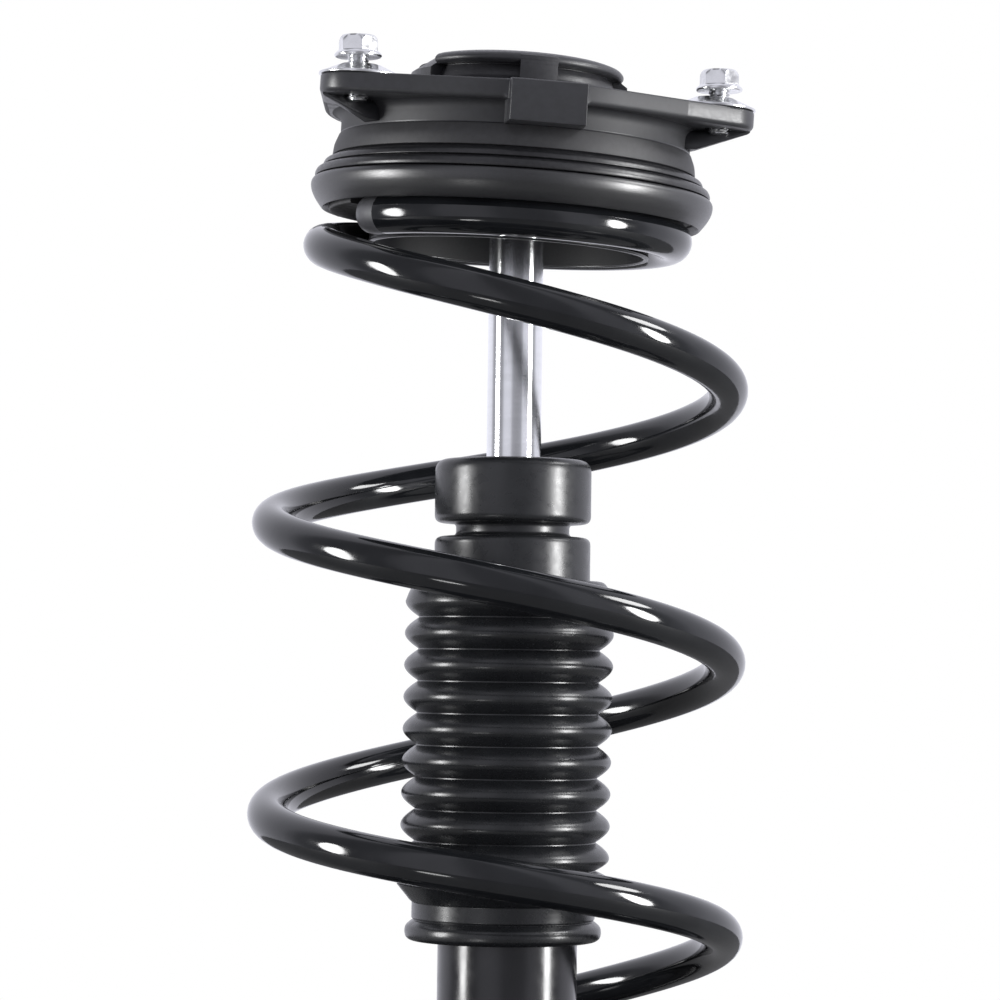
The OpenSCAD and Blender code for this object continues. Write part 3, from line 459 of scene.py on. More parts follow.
WIRE_D, TURNS, WIRE_START = 14.6, 4.49, 214.0
TOP_R, COIL_R = 60.0, 83.4
CLIMB_FROM, CLIMB_TO = (0.656, 1.058), (TURNS - 0.75, TURNS - 0.417)
OPEN_FROM, OPEN_TO = 0.63, 1.39
swivel = next(joint for joint in frame["joints"] if joint["name"] == "steering_swivel")
lean_axis = Vector(swivel["axis"]).normalized()
MOUNT_X = -math.asin(lean_axis.y)
MOUNT_Y = math.atan2(lean_axis.x, lean_axis.z)
on_mount = (
    Matrix.Translation(swivel["pos_m"]) @ Matrix.Rotation(MOUNT_Y, 4, "Y") @ Matrix.Rotation(MOUNT_X, 4, "X")
)
PAN_X, PAN_Y, PAN_ASIDE, PAN_Z = math.radians(-4.8), math.radians(-3.8), -4.9, 196.4
on_pan = (
    Matrix.Translation((PAN_ASIDE / 1000, 0, PAN_Z / 1000))
    @ Matrix.Rotation(PAN_Y, 4, "Y") @ Matrix.Rotation(PAN_X, 4, "X")
)
PAD_THICK, REST_GAP, WIRE_BELOW_MOUNT = 2.5, 0.3, 0.0513
coil_head = on_mount @ Vector((0, 0, -WIRE_BELOW_MOUNT)) * 1000
coil_foot = Vector((PAN_ASIDE, 0, PAN_Z + PAD_THICK + REST_GAP + WIRE_D / 2))


def climb(n, a, b):
    """Nothing before a, a straight climb after b, and a smooth bend between them."""
    return 0 if n <= a else n - (a + b) / 2 if n >= b else (n - a) ** 2 / (2 * (b - a))


def wire_centre(n):
    """The middle of the wire in millimetres, n turns down from its top end."""
    drop = (climb(n, *CLIMB_FROM) - climb(n, *CLIMB_TO)) / ((sum(CLIMB_TO) - sum(CLIMB_FROM)) / 2)
    grow = min(1, max(0, (n - OPEN_FROM) / (OPEN_TO - OPEN_FROM)))
    grow = grow * grow * (3 - 2 * grow)
    turn = math.radians(WIRE_START + 360 * n)
    r = TOP_R + (COIL_R - TOP_R) * grow
    u, v = r * math.cos(turn), r * math.sin(turn)
    tilt_x, tilt_y = MOUNT_X + (PAN_X - MOUNT_X) * drop, MOUNT_Y + (PAN_Y - MOUNT_Y) * drop
    middle = coil_head.lerp(coil_foot, grow)
    height = coil_head.z + (coil_foot.z - coil_head.z) * drop
    return Vector((
        middle.x + u, middle.y + v, height - math.tan(tilt_y) * u + math.tan(tilt_x) / math.cos(tilt_y) * v
    ))


def grow_tree(name, sizes):
    """An empty node tree with a geometry and named sizes going in, and a geometry coming out."""
    tree = bpy.data.node_groups.new(name, "GeometryNodeTree")
    tree.interface.new_socket("Geometry", in_out="INPUT", socket_type="NodeSocketGeometry")
    for label, kind, value in sizes:
        tree.interface.new_socket(label, in_out="INPUT", socket_type=kind).default_value = value
    tree.interface.new_socket("Geometry", in_out="OUTPUT", socket_type="NodeSocketGeometry")
    return tree, tree.nodes.new("NodeGroupInput"), tree.nodes.new("NodeGroupOutput")


def close_tree(tree, last, out, material):
    """Ends a tree, after its last node, in real geometry with its material set."""
    real = tree.nodes.new("GeometryNodeRealizeInstances")
    paint = tree.nodes.new("GeometryNodeSetMaterial")
    paint.inputs["Material"].default_value = material
    join(tree, (last, 0, real, 0), (real, 0, paint, 0), (paint, 0, out, 0))


def applied(piece, modifier):
    """The mesh of a piece with its modifier run, which is then removed."""
    bpy.context.view_layer.update()
    graph = bpy.context.evaluated_depsgraph_get()
    mesh = bpy.data.meshes.new_from_object(piece.evaluated_get(graph), depsgraph=graph)
    piece.modifiers.remove(modifier)
    return mesh


def bake(name, source, tree, values, angle=32):
    """Runs a tree on a mesh and returns the result as a plain piece."""
    seed = put(name + "_seed", source)
    run = seed.modifiers.new("build", "NODES")
    run.node_group = tree
    sockets = {item.name: item.identifier for item in tree.interface.items_tree if item.in_out == "INPUT"}
    for label, value in values.items():
        run[sockets[label]] = value
    mesh = applied(seed, run)
    bpy.data.objects.remove(seed)
    mesh.name = name
    shell = bmesh.new()
    shell.from_mesh(mesh)
    bmesh.ops.remove_doubles(shell, verts=shell.verts, dist=1e-7)
    bmesh.ops.recalc_face_normals(shell, faces=shell.faces)
    shell.to_mesh(mesh)
    shell.free()
    crease(mesh, angle)
    return put(name, mesh)


def path_mesh(name, points, closed=False):
    """A chain of edges along points in millimetres."""
    mesh = bpy.data.meshes.new(name)
    edges = [(i, i + 1) for i in range(len(points) - 1)] + ([(len(points) - 1, 0)] if closed else [])
    mesh.from_pydata([Vector(p) / 1000 for p in points], edges, [])
    return mesh


spring_coat = finish(
    "gloss_powder_coat", (0.0085, 0.0092, 0.0108), 0.1,
    tint=((70, 5), (0.007, 0.0076, 0.009), (0.0105, 0.0113, 0.013)), gloss=((150, 4), 0.07, 0.13),
    relief=[((260, 2), 10), ((3000, 1), 1)],
)

sweep_tree, sweep_in, sweep_out = grow_tree("swept_wire", [
    ("Wire radius", "NodeSocketFloat", 0.0073), ("Sides", "NodeSocketInt", 28),
    ("End chamfer", "NodeSocketFloat", 0.0009),
])
to_curve = sweep_tree.nodes.new("GeometryNodeMeshToCurve")
spline_place = sweep_tree.nodes.new("GeometryNodeSplineParameter")
spline_size = sweep_tree.nodes.new("GeometryNodeSplineLength")
from_end, nearest_end = math_node(sweep_tree, "SUBTRACT"), math_node(sweep_tree, "MINIMUM")
chamfer_step = sweep_tree.nodes.new("ShaderNodeMapRange")
chamfer_step.inputs["To Min"].default_value = 0.88
taper = sweep_tree.nodes.new("GeometryNodeInputRadius")
set_radius = sweep_tree.nodes.new("GeometryNodeSetCurveRadius")
wire_circle = sweep_tree.nodes.new("GeometryNodeCurvePrimitiveCircle")
sweep = sweep_tree.nodes.new("GeometryNodeCurveToMesh")
sweep.inputs["Fill Caps"].default_value = True
join(
    sweep_tree, (sweep_in, "Geometry", to_curve, 0), (spline_size, "Length", from_end, 0),
    (spline_place, "Length", from_end, 1), (from_end, 0, nearest_end, 0),
    (spline_place, "Length", nearest_end, 1), (nearest_end, 0, chamfer_step, "Value"),
    (sweep_in, "End chamfer", chamfer_step, "From Max"), (chamfer_step, "Result", set_radius, "Radius"),
    (to_curve, 0, set_radius, 0), (sweep_in, "Wire radius", wire_circle, "Radius"),
    (sweep_in, "Sides", wire_circle, "Resolution"), (set_radius, 0, sweep, "Curve"),
    (wire_circle, 0, sweep, "Profile Curve"), (taper, 0, sweep, "Scale"),
)
close_tree(sweep_tree, sweep, sweep_out, spring_coat)

END_STEP, STEPS_A_TURN = 0.0004, 120
wire_ends = [0, END_STEP, 2.5 * END_STEP]
wire_steps = (
    wire_ends + [i / STEPS_A_TURN for i in range(1, int(TURNS * STEPS_A_TURN))]
    + [TURNS - step for step in reversed(wire_ends)]
)
spring_path = path_mesh("spring_path", [wire_centre(n) for n in wire_steps])
coil_wire = bake("coil_spring_wire", spring_path, sweep_tree, {"Wire radius": WIRE_D / 2000, "Sides": 28})
dress(coil_wire, spring_coat, "strut_body", "spring_coating", "coil_spring")
tip_primer = finish(
    "grey_primer", (0.055, 0.0555, 0.061), 0.42,
    tint=((240, 4), (0.048, 0.0485, 0.053), (0.062, 0.0625, 0.069)), relief=[((900, 3), 10)],
)


def recoat(piece, material, chosen):
    """Gives the faces whose centre, in metres, is chosen a finish of their own."""
    piece.data.materials.append(material)
    slot = len(piece.data.materials) - 1
    for face in piece.data.polygons:
        if chosen(face.center):
            face.material_index = slot


wire_tip = wire_centre(0) / 1000
wire_way = (wire_centre(0.004) - wire_centre(0)).normalized()
PRIMER_REACH, PRIMER_SLOPE, WIRE_ROOM = 0.0105, 0.12, 0.0085


def on_tip(spot):
    """Whether a place is on the wire's primed tip, which ends on a slope."""
    away = spot - wire_tip
    along = away.dot(wire_way)
    return along < PRIMER_REACH + PRIMER_SLOPE * away.z and (away - wire_way * along).length < WIRE_ROOM


recoat(coil_wire, tip_primer, on_tip)
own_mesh(coil_wire)

# Lower seat: a dish pressed from 3 mm sheet with an upturned rim, its hub welded round the tube.
# Two drain holes let water out of the floor.


def cut_away(piece, cutters):
    """Takes the cutters' solids out of a piece."""
    for cutter in cutters:
        bite = piece.modifiers.new("bite", "BOOLEAN")
        bite.operation, bite.solver, bite.object = "DIFFERENCE", "EXACT", cutter
        piece.data = applied(piece, bite)
        bpy.data.objects.remove(cutter)
    crease(piece.data)


def plug(radius, low, high, place=None, sides=48):
    """A plain round solid to cut with, in millimetres."""
    line = [Vector((0, low)), Vector((radius, low)), Vector((radius, high)), Vector((0, high))]
    return turned("plug", line, place, sides)


def merge_pieces(name, parts):
    """Several closed shells as one piece."""
    shell = bmesh.new()
    for part in parts:
        shell.from_mesh(part.data)
        bpy.data.objects.remove(part)
    return shell_piece(name, shell)


def out_at(place, heading, r):
    """A place moved out from its axis to a distance in millimetres, along a heading."""
    return place @ Matrix.Rotation(math.radians(heading), 4, "Z") @ Matrix.Translation((r / 1000, 0, 0))


RIM_R, RIM_BORE, RIM_TOP, HUB_R, HUB_LOW, HUB_HIGH = 98.7, 95.7, 11, 28.5, 180.4, 204.4
DRAIN_R, DRAIN_INSET = 4.5, 54.1
dish = turned("dish", rounded([
    (12, 5.2, 0), (60.1, 1, 10), (72.1, -3, 6), (92.7, -3, 4), (RIM_R, 3, 4), (RIM_R, RIM_TOP, 1.3),
    (RIM_BORE, RIM_TOP, 1.3), (RIM_BORE, 4, 3), (91.7, 0, 4), (72.1, 0, 6), (60.1, 4, 10), (12, 8.2, 0),
], 5), on_pan)
drains = [plug(DRAIN_R, -20, 20, out_at(on_pan, heading, DRAIN_INSET)) for heading in (100, 280)]
cut_away(dish, [plug(27, 150, 250, sides=128)] + drains)
hub = turned("hub", rounded([
    (ON_TUBE, HUB_LOW, 0.4), (HUB_R, HUB_LOW, 0.9), (HUB_R, HUB_HIGH, 0.9), (ON_TUBE, HUB_HIGH, 0.4),
]))
enamelled(merge_pieces("lower_pan", [dish, hub]), "lower_spring_seat")

# Lower pad: a moulded rubber ring between the pan's floor and the bottom turn, with a low lip on
# each side that keeps the wire in place.

pad_rubber = finish(
    "pad_rubber", (0.022, 0.022, 0.022), 0.55,
    tint=((240, 4), (0.017, 0.017, 0.017), (0.028, 0.028, 0.028)), gloss=((500, 3), 0.48, 0.66),
    relief=[((1600, 3), 14)],
)

pad_ring = rounded([
    (77.1, 0.02, 0.4), (89.7, 0.02, 0.4), (89.7, PAD_THICK, 0.7), (88.3, PAD_THICK, 0.6), (87.4, 2.2, 0.6),
    (79.4, 2.2, 0.6), (78.5, PAD_THICK, 0.6), (77.1, PAD_THICK, 0.7),
])
dress(turned("lower_pad", pad_ring, on_pan), pad_rubber, "strut_body", "pad_rubber", "lower_seat_pad")

# Knuckle bracket: 4.5 mm sheet folded round the tube into two ears, drilled for the two bolts that
# clamp the steering knuckle. Its edges are broken by the press and it is welded top and bottom.

FLAT_WITHIN, EDGE_FROM = 0.6, 30


def softened(name, node, width):
    """A merged copy of a CAD solid with its edges broken by a bevel, width in millimetres."""
    mesh = cad_nodes[node].data.copy()
    mesh.name = name
    shell = bmesh.new()
    shell.from_mesh(mesh)
    bmesh.ops.remove_doubles(shell, verts=shell.verts, dist=2e-6)
    bmesh.ops.dissolve_limit(
        shell, angle_limit=math.radians(FLAT_WITHIN), use_dissolve_boundaries=False,
        verts=shell.verts, edges=shell.edges,
    )
    bmesh.ops.recalc_face_normals(shell, faces=shell.faces)
    shell.to_mesh(mesh)
    shell.free()
    piece = put(name, mesh)
    edge = piece.modifiers.new("edge", "BEVEL")
    edge.width, edge.segments, edge.limit_method = width / 1000, 3, "ANGLE"
    edge.angle_limit = math.radians(EDGE_FROM)
    piece.data = applied(piece, edge)
    piece.data.materials.clear()
    crease(piece.data, 35)
    return piece


enamelled(softened("knuckle_clamp", "knuckle_bracket", 0.7), "knuckle_bracket")

# Small brackets: drilled plates on saddles that are welded to the tube, one for the sway bar link
# and one for the brake hose. Both are blanked from sheet and painted with the tube.

enamelled(softened("sway_bar_link_plate", "sway_bar_link_bracket", 0.5), "sway_bar_link_bracket")
enamelled(softened("brake_hose_tab", "brake_hose_bracket", 0.4), "brake_hose_bracket")

# Weld beads: fillet welds between the tube and what it carries. Each bead is a row of overlapping
# ripples as the torch leaves them, covered by the same enamel.

bead_tree, bead_in, bead_out = grow_tree("weld_ripples", [
    ("Ripple size", "NodeSocketFloat", 0.002), ("Ripple step", "NodeSocketFloat", 0.0011),
])
bead_curve = bead_tree.nodes.new("GeometryNodeMeshToCurve")
bead_points = bead_tree.nodes.new("GeometryNodeCurveToPoints")
bead_points.mode = "LENGTH"
ripple = bead_tree.nodes.new("GeometryNodeMeshUVSphere")
ripple.inputs["Segments"].default_value, ripple.inputs["Rings"].default_value = 10, 6
bead_copies = bead_tree.nodes.new("GeometryNodeInstanceOnPoints")
bead_jitter = bead_tree.nodes.new("FunctionNodeRandomValue")
bead_jitter.data_type = "FLOAT"
RIPPLE_SMALLEST, RIPPLE_LARGEST, RIPPLE_SEED = 0.86, 1.08, 7
jitter_sockets = [socket for socket in bead_jitter.inputs if socket.enabled and socket.name != "ID"]
for socket, value in zip(jitter_sockets, (RIPPLE_SMALLEST, RIPPLE_LARGEST, RIPPLE_SEED)):
    socket.default_value = value
jitter_output = [socket.enabled for socket in bead_jitter.outputs].index(True)
join(
    bead_tree, (bead_in, "Geometry", bead_curve, 0), (bead_curve, 0, bead_points, 0),
    (bead_in, "Ripple step", bead_points, "Length"), (bead_in, "Ripple size", ripple, "Radius"),
    (bead_points, "Points", bead_copies, "Points"), (ripple, 0, bead_copies, "Instance"),
    (bead_points, "Rotation", bead_copies, "Rotation"), (bead_jitter, jitter_output, bead_copies, "Scale"),
)
close_tree(bead_tree, bead_copies, bead_out, gloss_enamel)


def weld_ring(name, r, z, start=0, span=360):
    """A bead round the tube at a height, all the way or over a part of a turn."""
    count = max(8, int(span / 4))
    turns = [math.radians(start + span * i / count) for i in range(count + (0 if span >= 360 else 1))]
    line = path_mesh(name, [(r * math.cos(turn), r * math.sin(turn), z) for turn in turns], span >= 360)
    enamelled(bake(name, line, bead_tree, {"Ripple size": 0.0019, "Ripple step": 0.0012}, 60))


weld_ring("seat_weld", 26.0, 204.6)
weld_ring("seat_weld_below", 26.0, 180.2)
weld_ring("clamp_weld", 26.4, 114.2, 215, 290)
weld_ring("link_weld", 25.9, 164.4, 58, 64)
weld_ring("hose_weld", 25.9, 125.9, 218, 64)

# Upper seat: a steel pressing in satin black with a fine grain. Its round shoulder covers the
# narrow top turn, and a pilot skirt inside the coil keeps it central. The skirt's inside is
# rougher, and its colour is darker there as painted shade.

seat_black = finish(
    "grained_satin_black", (0.009, 0.0094, 0.0108), 0.33,
    tint=((1400, 3), (0.0075, 0.0078, 0.009), (0.0105, 0.011, 0.0126)), gloss=((2200, 3), 0.29, 0.38),
    relief=[((2400, 3), 14)], Specular_IOR_Level=0.85,
)

RACE_IN, RACE_OUT, SEAT_TOP, SEAT_FLOOR, SEAT_UNDER = 53, 63, -35.8, -40.2, -41.2
SKIRT_R, SKIRT_BORE, SKIRT_FOOT = 51.6, 49.9, -58.6
seat_outline = rounded([
    (18, SEAT_FLOOR, 0.5), (18, SEAT_TOP, 0.5), (RACE_IN, SEAT_TOP, 0), (RACE_IN, -40.78, 0),
    (RACE_OUT, -40.78, 0), (RACE_OUT, SEAT_TOP, 0), (73.2, SEAT_TOP, 0.8), (74.1, -37.2, 1.2),
    (74.2, -38.6, 1.6), (73.8, -40.6, 1.6), (72.5, -43.2, 1.6), (70.6, -45.7, 1.2), (69.6, -46.9, 0.6),
    (67.7, -43.8, 0.5), (67.7, SEAT_UNDER, 0.5), (SKIRT_R, SEAT_UNDER, 1.2), (SKIRT_R, -57.2, 0.3),
    (52.1, -57.9, 0.5), (51.4, SKIRT_FOOT, 0.5), (SKIRT_BORE, SKIRT_FOOT, 0.6), (SKIRT_BORE, SEAT_FLOOR, 1.2),
])
seat_pressing = turned("upper_seat_pressing", seat_outline, on_mount, 256)
dress(seat_pressing, seat_black, "upper_seat", "seat_black", "upper_spring_seat")
# The skirt's inside: a rougher finish whose darker colour is painted shade inside the skirt.
skirt_painted_shade = finish(
    "dull_black_inside_painted_shade", (0.0075, 0.0078, 0.009), 0.62,
    tint=((1400, 3), (0.006, 0.0063, 0.0072), (0.009, 0.0094, 0.0108)), relief=[((2400, 3), 14)],
)
off_mount = on_mount.inverted()


def in_skirt(spot):
    """Whether a place is on the inside of the seat's skirt."""
    at = off_mount @ spot * 1000
    return math.hypot(at.x, at.y) < SKIRT_BORE + 0.5 and SKIRT_FOOT + 0.6 < at.z < SEAT_FLOOR - 0.3


# Paints the shade inside the skirt: its inner faces get the darker, rougher finish.
recoat(seat_pressing, skirt_painted_shade, in_skirt)

# Upper pad: a rubber ring between the seat and the top turn. A thicker block on it stops the
# wire's end from turning.

STOP_FROM, STOP_SPAN, STOP_STEPS = WIRE_START - 48, 45, 30
upper_ring = turned("upper_ring", rounded([
    (51.7, -43.7, 0.6), (67.6, -43.7, 0.6), (67.6, -41.25, 0.3), (51.7, -41.25, 0.3),
]), on_mount)
wire_stop = turned("wire_stop", rounded([
    (52.2, -47.7, 1), (67.1, -47.7, 1), (67.1, -43.2, 0), (52.2, -43.2, 0),
]), on_mount, headings=[STOP_FROM + STOP_SPAN * i / STOP_STEPS for i in range(STOP_STEPS + 1)])
upper_pad = merge_pieces("upper_pad", [upper_ring, wire_stop])
dress(upper_pad, pad_rubber, "upper_seat", "pad_rubber", "upper_seat_pad")

# Thrust bearing: two ground races with 24 balls in a nylon cage, so that the mount stays still
# while the spring and the tube turn with the wheels.

race_steel = finish(
    "ground_bearing_steel", (0.66, 0.67, 0.68), 0.2, gloss=((300, 4, (1, 1, 14)), 0.12, 0.26),
    relief=[((500, 2, (1, 1, 20)), 2)], Metallic=1.0,
)
nylon = finish(
    "natural_nylon", (0.62, 0.57, 0.42), 0.42, tint=((200, 4), (0.56, 0.51, 0.37), (0.66, 0.61, 0.46)),
    relief=[((900, 3), 10)], Subsurface_Weight=0.1,
)
coat_solids(race_steel, "bearing_lower_race", "bearing_upper_race", "bearing_balls")
coat_solids(nylon, "ball_cage")

# Bearing cover and adapter: two moulded black plastic rings that close the bearing and fill the
# space up to the casting. Two rounded bands run round the cover, and the adapter above it is matt.

ring_plastic = finish(
    "black_moulded_plastic", (0.012, 0.012, 0.0135), 0.34,
    tint=((500, 4), (0.0095, 0.0095, 0.011), (0.015, 0.015, 0.017)), gloss=((900, 3), 0.28, 0.4),
    relief=[((2200, 3), 16)],
)

RING_BORE, COVER_FOOT, COVER_TOP, HOUSING_FOOT = 26, -35.4, -27.5, -19.5
cover_outline = rounded([
    (RING_BORE, COVER_FOOT, 0.3), (RACE_IN, COVER_FOOT, 0), (RACE_IN, -30.7, 0), (RACE_OUT, -30.7, 0),
    (RACE_OUT, COVER_FOOT, 0), (72.8, COVER_FOOT, 0.4), (73.0, -34.3, 0.5), (72.2, -32.3, 1.1),
    (69.2, -31.6, 0.25), (70.3, -31.2, 0.3), (69.6, -29.2, 1.0), (67.0, -28.1, 0.35),
    (66.2, COVER_TOP, 0.2), (RING_BORE, COVER_TOP, 0.3),
])
dress(
    turned("bearing_cover_ring", cover_outline, on_mount, 256), ring_plastic,
    "top_mount", "black_plastic", "bearing_upper_cover",
)
adapter_outline = rounded([
    (RING_BORE, -27.48, 0.3), (67, -27.48, 0.5), (66.6, -23.5, 1.4), (65, HOUSING_FOOT, 0.3),
    (RING_BORE, HOUSING_FOOT, 0.3),
])
adapter_plastic = finish(
    "matt_moulded_plastic", (0.017, 0.017, 0.019), 0.58,
    tint=((500, 4), (0.0145, 0.0145, 0.0162), (0.0195, 0.0195, 0.0218)), relief=[((2200, 3), 16)],
)
dress(
    turned("bearing_adapter_ring", adapter_outline, on_mount, 256), adapter_plastic,
    "top_mount", "black_plastic", "bearing_adapter",
)

# Mount housing: an aluminium die casting in satin charcoal, rougher on its wall and straight edges.
# Its colour on the wall under the flange is darker, as painted shade from the flange.
# Three drilled lobes bolt to the car, with a gusset under each, and one flat pad faces the front.

cast_coat = finish(
    "charcoal_casting", (0.025, 0.0255, 0.0285), 0.36,
    tint=((380, 5), (0.023, 0.0235, 0.026), (0.027, 0.0275, 0.031)), gloss=((900, 4), 0.33, 0.4),
    relief=[((1500, 4), 10), ((160, 2), 10)],
)

LOBES, LOBE_R, BOLT_CIRCLE_R = (222, 342, 102), 13.0, 76.7
PAD, PAD_REACH, PAD_HALF, PAD_ROUND = 279, 73.8, 13.8, 2.4
PAD_WITHIN, PAD_CORNER, PAD_STEP, PAD_STEPS = 0.6, 9.7, 0.06, 28
DISC_R, WALL_R, HOUSING_BORE, BUSH_BORE = 71.0, 64.5, 25, 30.05
FLANGE_TOP, FLANGE_UNDER = -4.5, -11.5
TOP_ROUND, UNDER_ROUND, COVE, FOOT_ROUND = 1.0, 2.0, 3.5, 0.6
tangent_turn = math.acos((DISC_R - LOBE_R) / BOLT_CIRCLE_R)
tip_turn = math.atan2(LOBE_R * math.sin(tangent_turn), BOLT_CIRCLE_R + LOBE_R * math.cos(tangent_turn))


def off(heading, centre):
    """The angle from a centre line, within half a turn."""
    return (heading - centre + 180) % 360 - 180


def pad_far(heading, inner):
    """How far the flat pad reaches at a heading, or inner where it isn't."""
    turn = math.radians(off(heading, PAD))
    if abs(turn) > PAD_WITHIN:
        return inner
    face, side = PAD_REACH / math.cos(turn), PAD_HALF / max(abs(math.sin(turn)), 1e-6)
    corner = max(0, PAD_ROUND - abs(face - side)) / PAD_ROUND
    return max(inner, min(face, side) - corner ** 2 * PAD_ROUND / 4)


def flange_far(heading):
    """The flange's outline: a disc, lines that leave it at a tangent, round lobes, and the pad."""
    far = DISC_R
    for centre in LOBES:
        turn = abs(math.radians(off(heading, centre)))
        if turn < tip_turn:
            aside = BOLT_CIRCLE_R * math.sin(turn)
            far = BOLT_CIRCLE_R * math.cos(turn) + math.sqrt(LOBE_R ** 2 - aside ** 2)
        elif turn < tangent_turn:
            far = DISC_R / math.cos(tangent_turn - turn)
    return pad_far(heading, far)


housing_headings = sorted(set(
    [i / 2 for i in range(720)]
    + [(PAD + side * (PAD_CORNER + i * PAD_STEP)) % 360 for side in (-1, 1) for i in range(PAD_STEPS)]
))


def quarter(step):
    """The sine and cosine of each angle of a quarter turn, with the angle itself in degrees."""
    return [(math.sin(math.radians(a)), math.cos(math.radians(a)), a) for a in range(0, 91, step)]


def housing_section(heading):
    """The casting's cross-section at a heading, always with the same count of points."""
    far, wall = flange_far(heading), pad_far(heading, WALL_R)
    step = max(far - wall, 0)
    edge, cove = min(UNDER_ROUND, step * 0.3), min(COVE, step * 0.54)
    line = [(BUSH_BORE, FLANGE_TOP - 0.5), (BUSH_BORE + 0.55, FLANGE_TOP)]
    line += [(far - TOP_ROUND * (1 - s), FLANGE_TOP - TOP_ROUND * (1 - c)) for s, c, a in quarter(30)]
    line += [(far - edge * (1 - c), FLANGE_UNDER + edge * (1 - s)) for s, c, a in quarter(18)]
    line += [(wall + cove * (1 - s), FLANGE_UNDER - cove * (1 - c) - 0.001 * a) for s, c, a in quarter(18)]
    line += [(wall - FOOT_ROUND * (1 - c), HOUSING_FOOT + FOOT_ROUND * (1 - s)) for s, c, a in quarter(45)]
    shelf = HOUSING_FOOT + 3
    return line + [(HOUSING_BORE, HOUSING_FOOT), (HOUSING_BORE, shelf), (BUSH_BORE, shelf)]


def gusset(centre, side):
    """A solid beside a lobe's hole that slopes from the edge down to the wall's foot."""
    shell = bmesh.new()
    for middle, r, clear, h in (
        (BOLT_CIRCLE_R, 11.3, 5.2, -10.2), (BOLT_CIRCLE_R, 11.3, 5.2, -12.0),
        (57, 12, 2, -12.5), (57, 12, 1, -18.5),
    ):
        for i in range(48):
            a = 2 * math.pi * i / 48
            across = max(clear, r * math.sin(a))
            shell.verts.new(((middle + r * math.cos(a)) / 1000, side * across / 1000, h / 1000))
    hull = bmesh.ops.convex_hull(shell, input=shell.verts)
    inside = hull["geom_interior"] + hull["geom_unused"]
    spare = {item for item in inside if isinstance(item, bmesh.types.BMVert)}
    bmesh.ops.delete(shell, geom=list(spare), context="VERTS")
    bmesh.ops.dissolve_limit(shell, angle_limit=math.radians(1), verts=shell.verts, edges=shell.edges)
    bmesh.ops.recalc_face_normals(shell, faces=shell.faces)
    lower = [edge for edge in shell.edges if len(edge.link_faces) == 2 and edge.calc_face_angle() > 0.6]
    bmesh.ops.bevel(shell, geom=lower, offset=0.0007, segments=2, affect="EDGES", profile=0.5)
    shell.transform(on_mount @ Matrix.Rotation(math.radians(centre), 4, "Z"))
    return shell_piece("gusset", shell)


casting = bmesh.new()
skin(casting, [
    [casting.verts.new(around(r, math.radians(heading), h)) for r, h in housing_section(heading)]
    for heading in housing_headings
], closed=True)
bmesh.ops.remove_doubles(casting, verts=casting.verts, dist=1e-6)
bmesh.ops.recalc_face_normals(casting, faces=casting.faces)
casting.transform(on_mount)
plain_casting = shell_piece("casting", casting)
LOBE_HOLE_R = 4.8
cut_away(plain_casting, [plug(LOBE_HOLE_R, -40, 10, out_at(on_mount, lobe, BOLT_CIRCLE_R)) for lobe in LOBES])
gussets = [gusset(lobe, side) for lobe, side in zip(LOBES, (-1, 1, 1))]
mount_casting = merge_pieces("mount_casting", [plain_casting] + gussets)
crease(mount_casting.data, 28)
dress(mount_casting, cast_coat, "top_mount", "charcoal_casting", "mount_housing")
# The wall under the flange: rougher, and its darker colour is painted shade from the flange.
wall_painted_shade = finish(
    "casting_wall_painted_shade", (0.019, 0.0195, 0.022), 0.6,
    tint=((380, 5), (0.017, 0.0175, 0.0195), (0.021, 0.0215, 0.0245)), relief=[((1500, 4), 10)],
)
edge_coat = finish(
    "casting_edge", (0.025, 0.0255, 0.0285), 0.56,
    tint=((380, 5), (0.023, 0.0235, 0.026), (0.027, 0.0275, 0.031)), relief=[((1500, 4), 10)],
)
WALL_HIGH, LOBE_CLEAR, PAD_CLEAR = 6.5, 19, 12


def on_wall(spot):
    """Whether a place is on the casting's wall, below the flange."""
    at = off_mount @ spot * 1000
    return FLANGE_UNDER - WALL_HIGH < at.z < FLANGE_UNDER and WALL_R - 1 < math.hypot(at.x, at.y) < WALL_R + 4


def on_straight_edge(spot):
    """Whether a place is on the flange's side, away from the lobes and the pad."""
    at = off_mount @ spot * 1000
    if not (FLANGE_UNDER <= at.z < FLANGE_TOP - 0.05 and math.hypot(at.x, at.y) > DISC_R - 2):
        return False
    heading = math.degrees(math.atan2(at.y, at.x))
    return min(abs(off(heading, lobe)) for lobe in LOBES) > LOBE_CLEAR and abs(off(heading, PAD)) > PAD_CLEAR


# Paints the flange's shade on the wall: its faces get the darker, rougher finish.
recoat(mount_casting, wall_painted_shade, on_wall)
recoat(mount_casting, edge_coat, on_straight_edge)

# Bush: natural rubber moulded between the housing and the steel core, with a shallow dished top.
# It carries the rod and lets it lean a little.

bush_line = rounded([
    (14, -16.5, 0.5), (30, -16.5, 0.5), (30, -0.2, 1.2), (27.5, 0, 1), (20, -1.2, 2), (15.8, -0.6, 0.6),
    (15.4, -4.3, 0), (14, -8, 0),
])
dress(turned("bush_rubber", bush_line, on_mount), pad_rubber, "top_mount", "pad_rubber", "mount_bush")

# Top cap: a moulded plastic ring over the bush, with a stepped lip and an undercut. Four webs cross
# the undercut, three of them bevelled. It stands up through the hole in the car's strut tower.

CAP_NECK, CAP_FOOT, CAP_TOP, CAP_LIP_R, CAP_BORE = 34.6, -4.5, 11.6, 38.5, 22
WEBS = ((281, 7.25), (11, 7.25), (101, 7.25), (193, 16.0))
WEB_REACH, WEB_TOP, BEVEL_REACH, BEVEL_FOOT = 40.0, 9.4, 30.5, 4.9


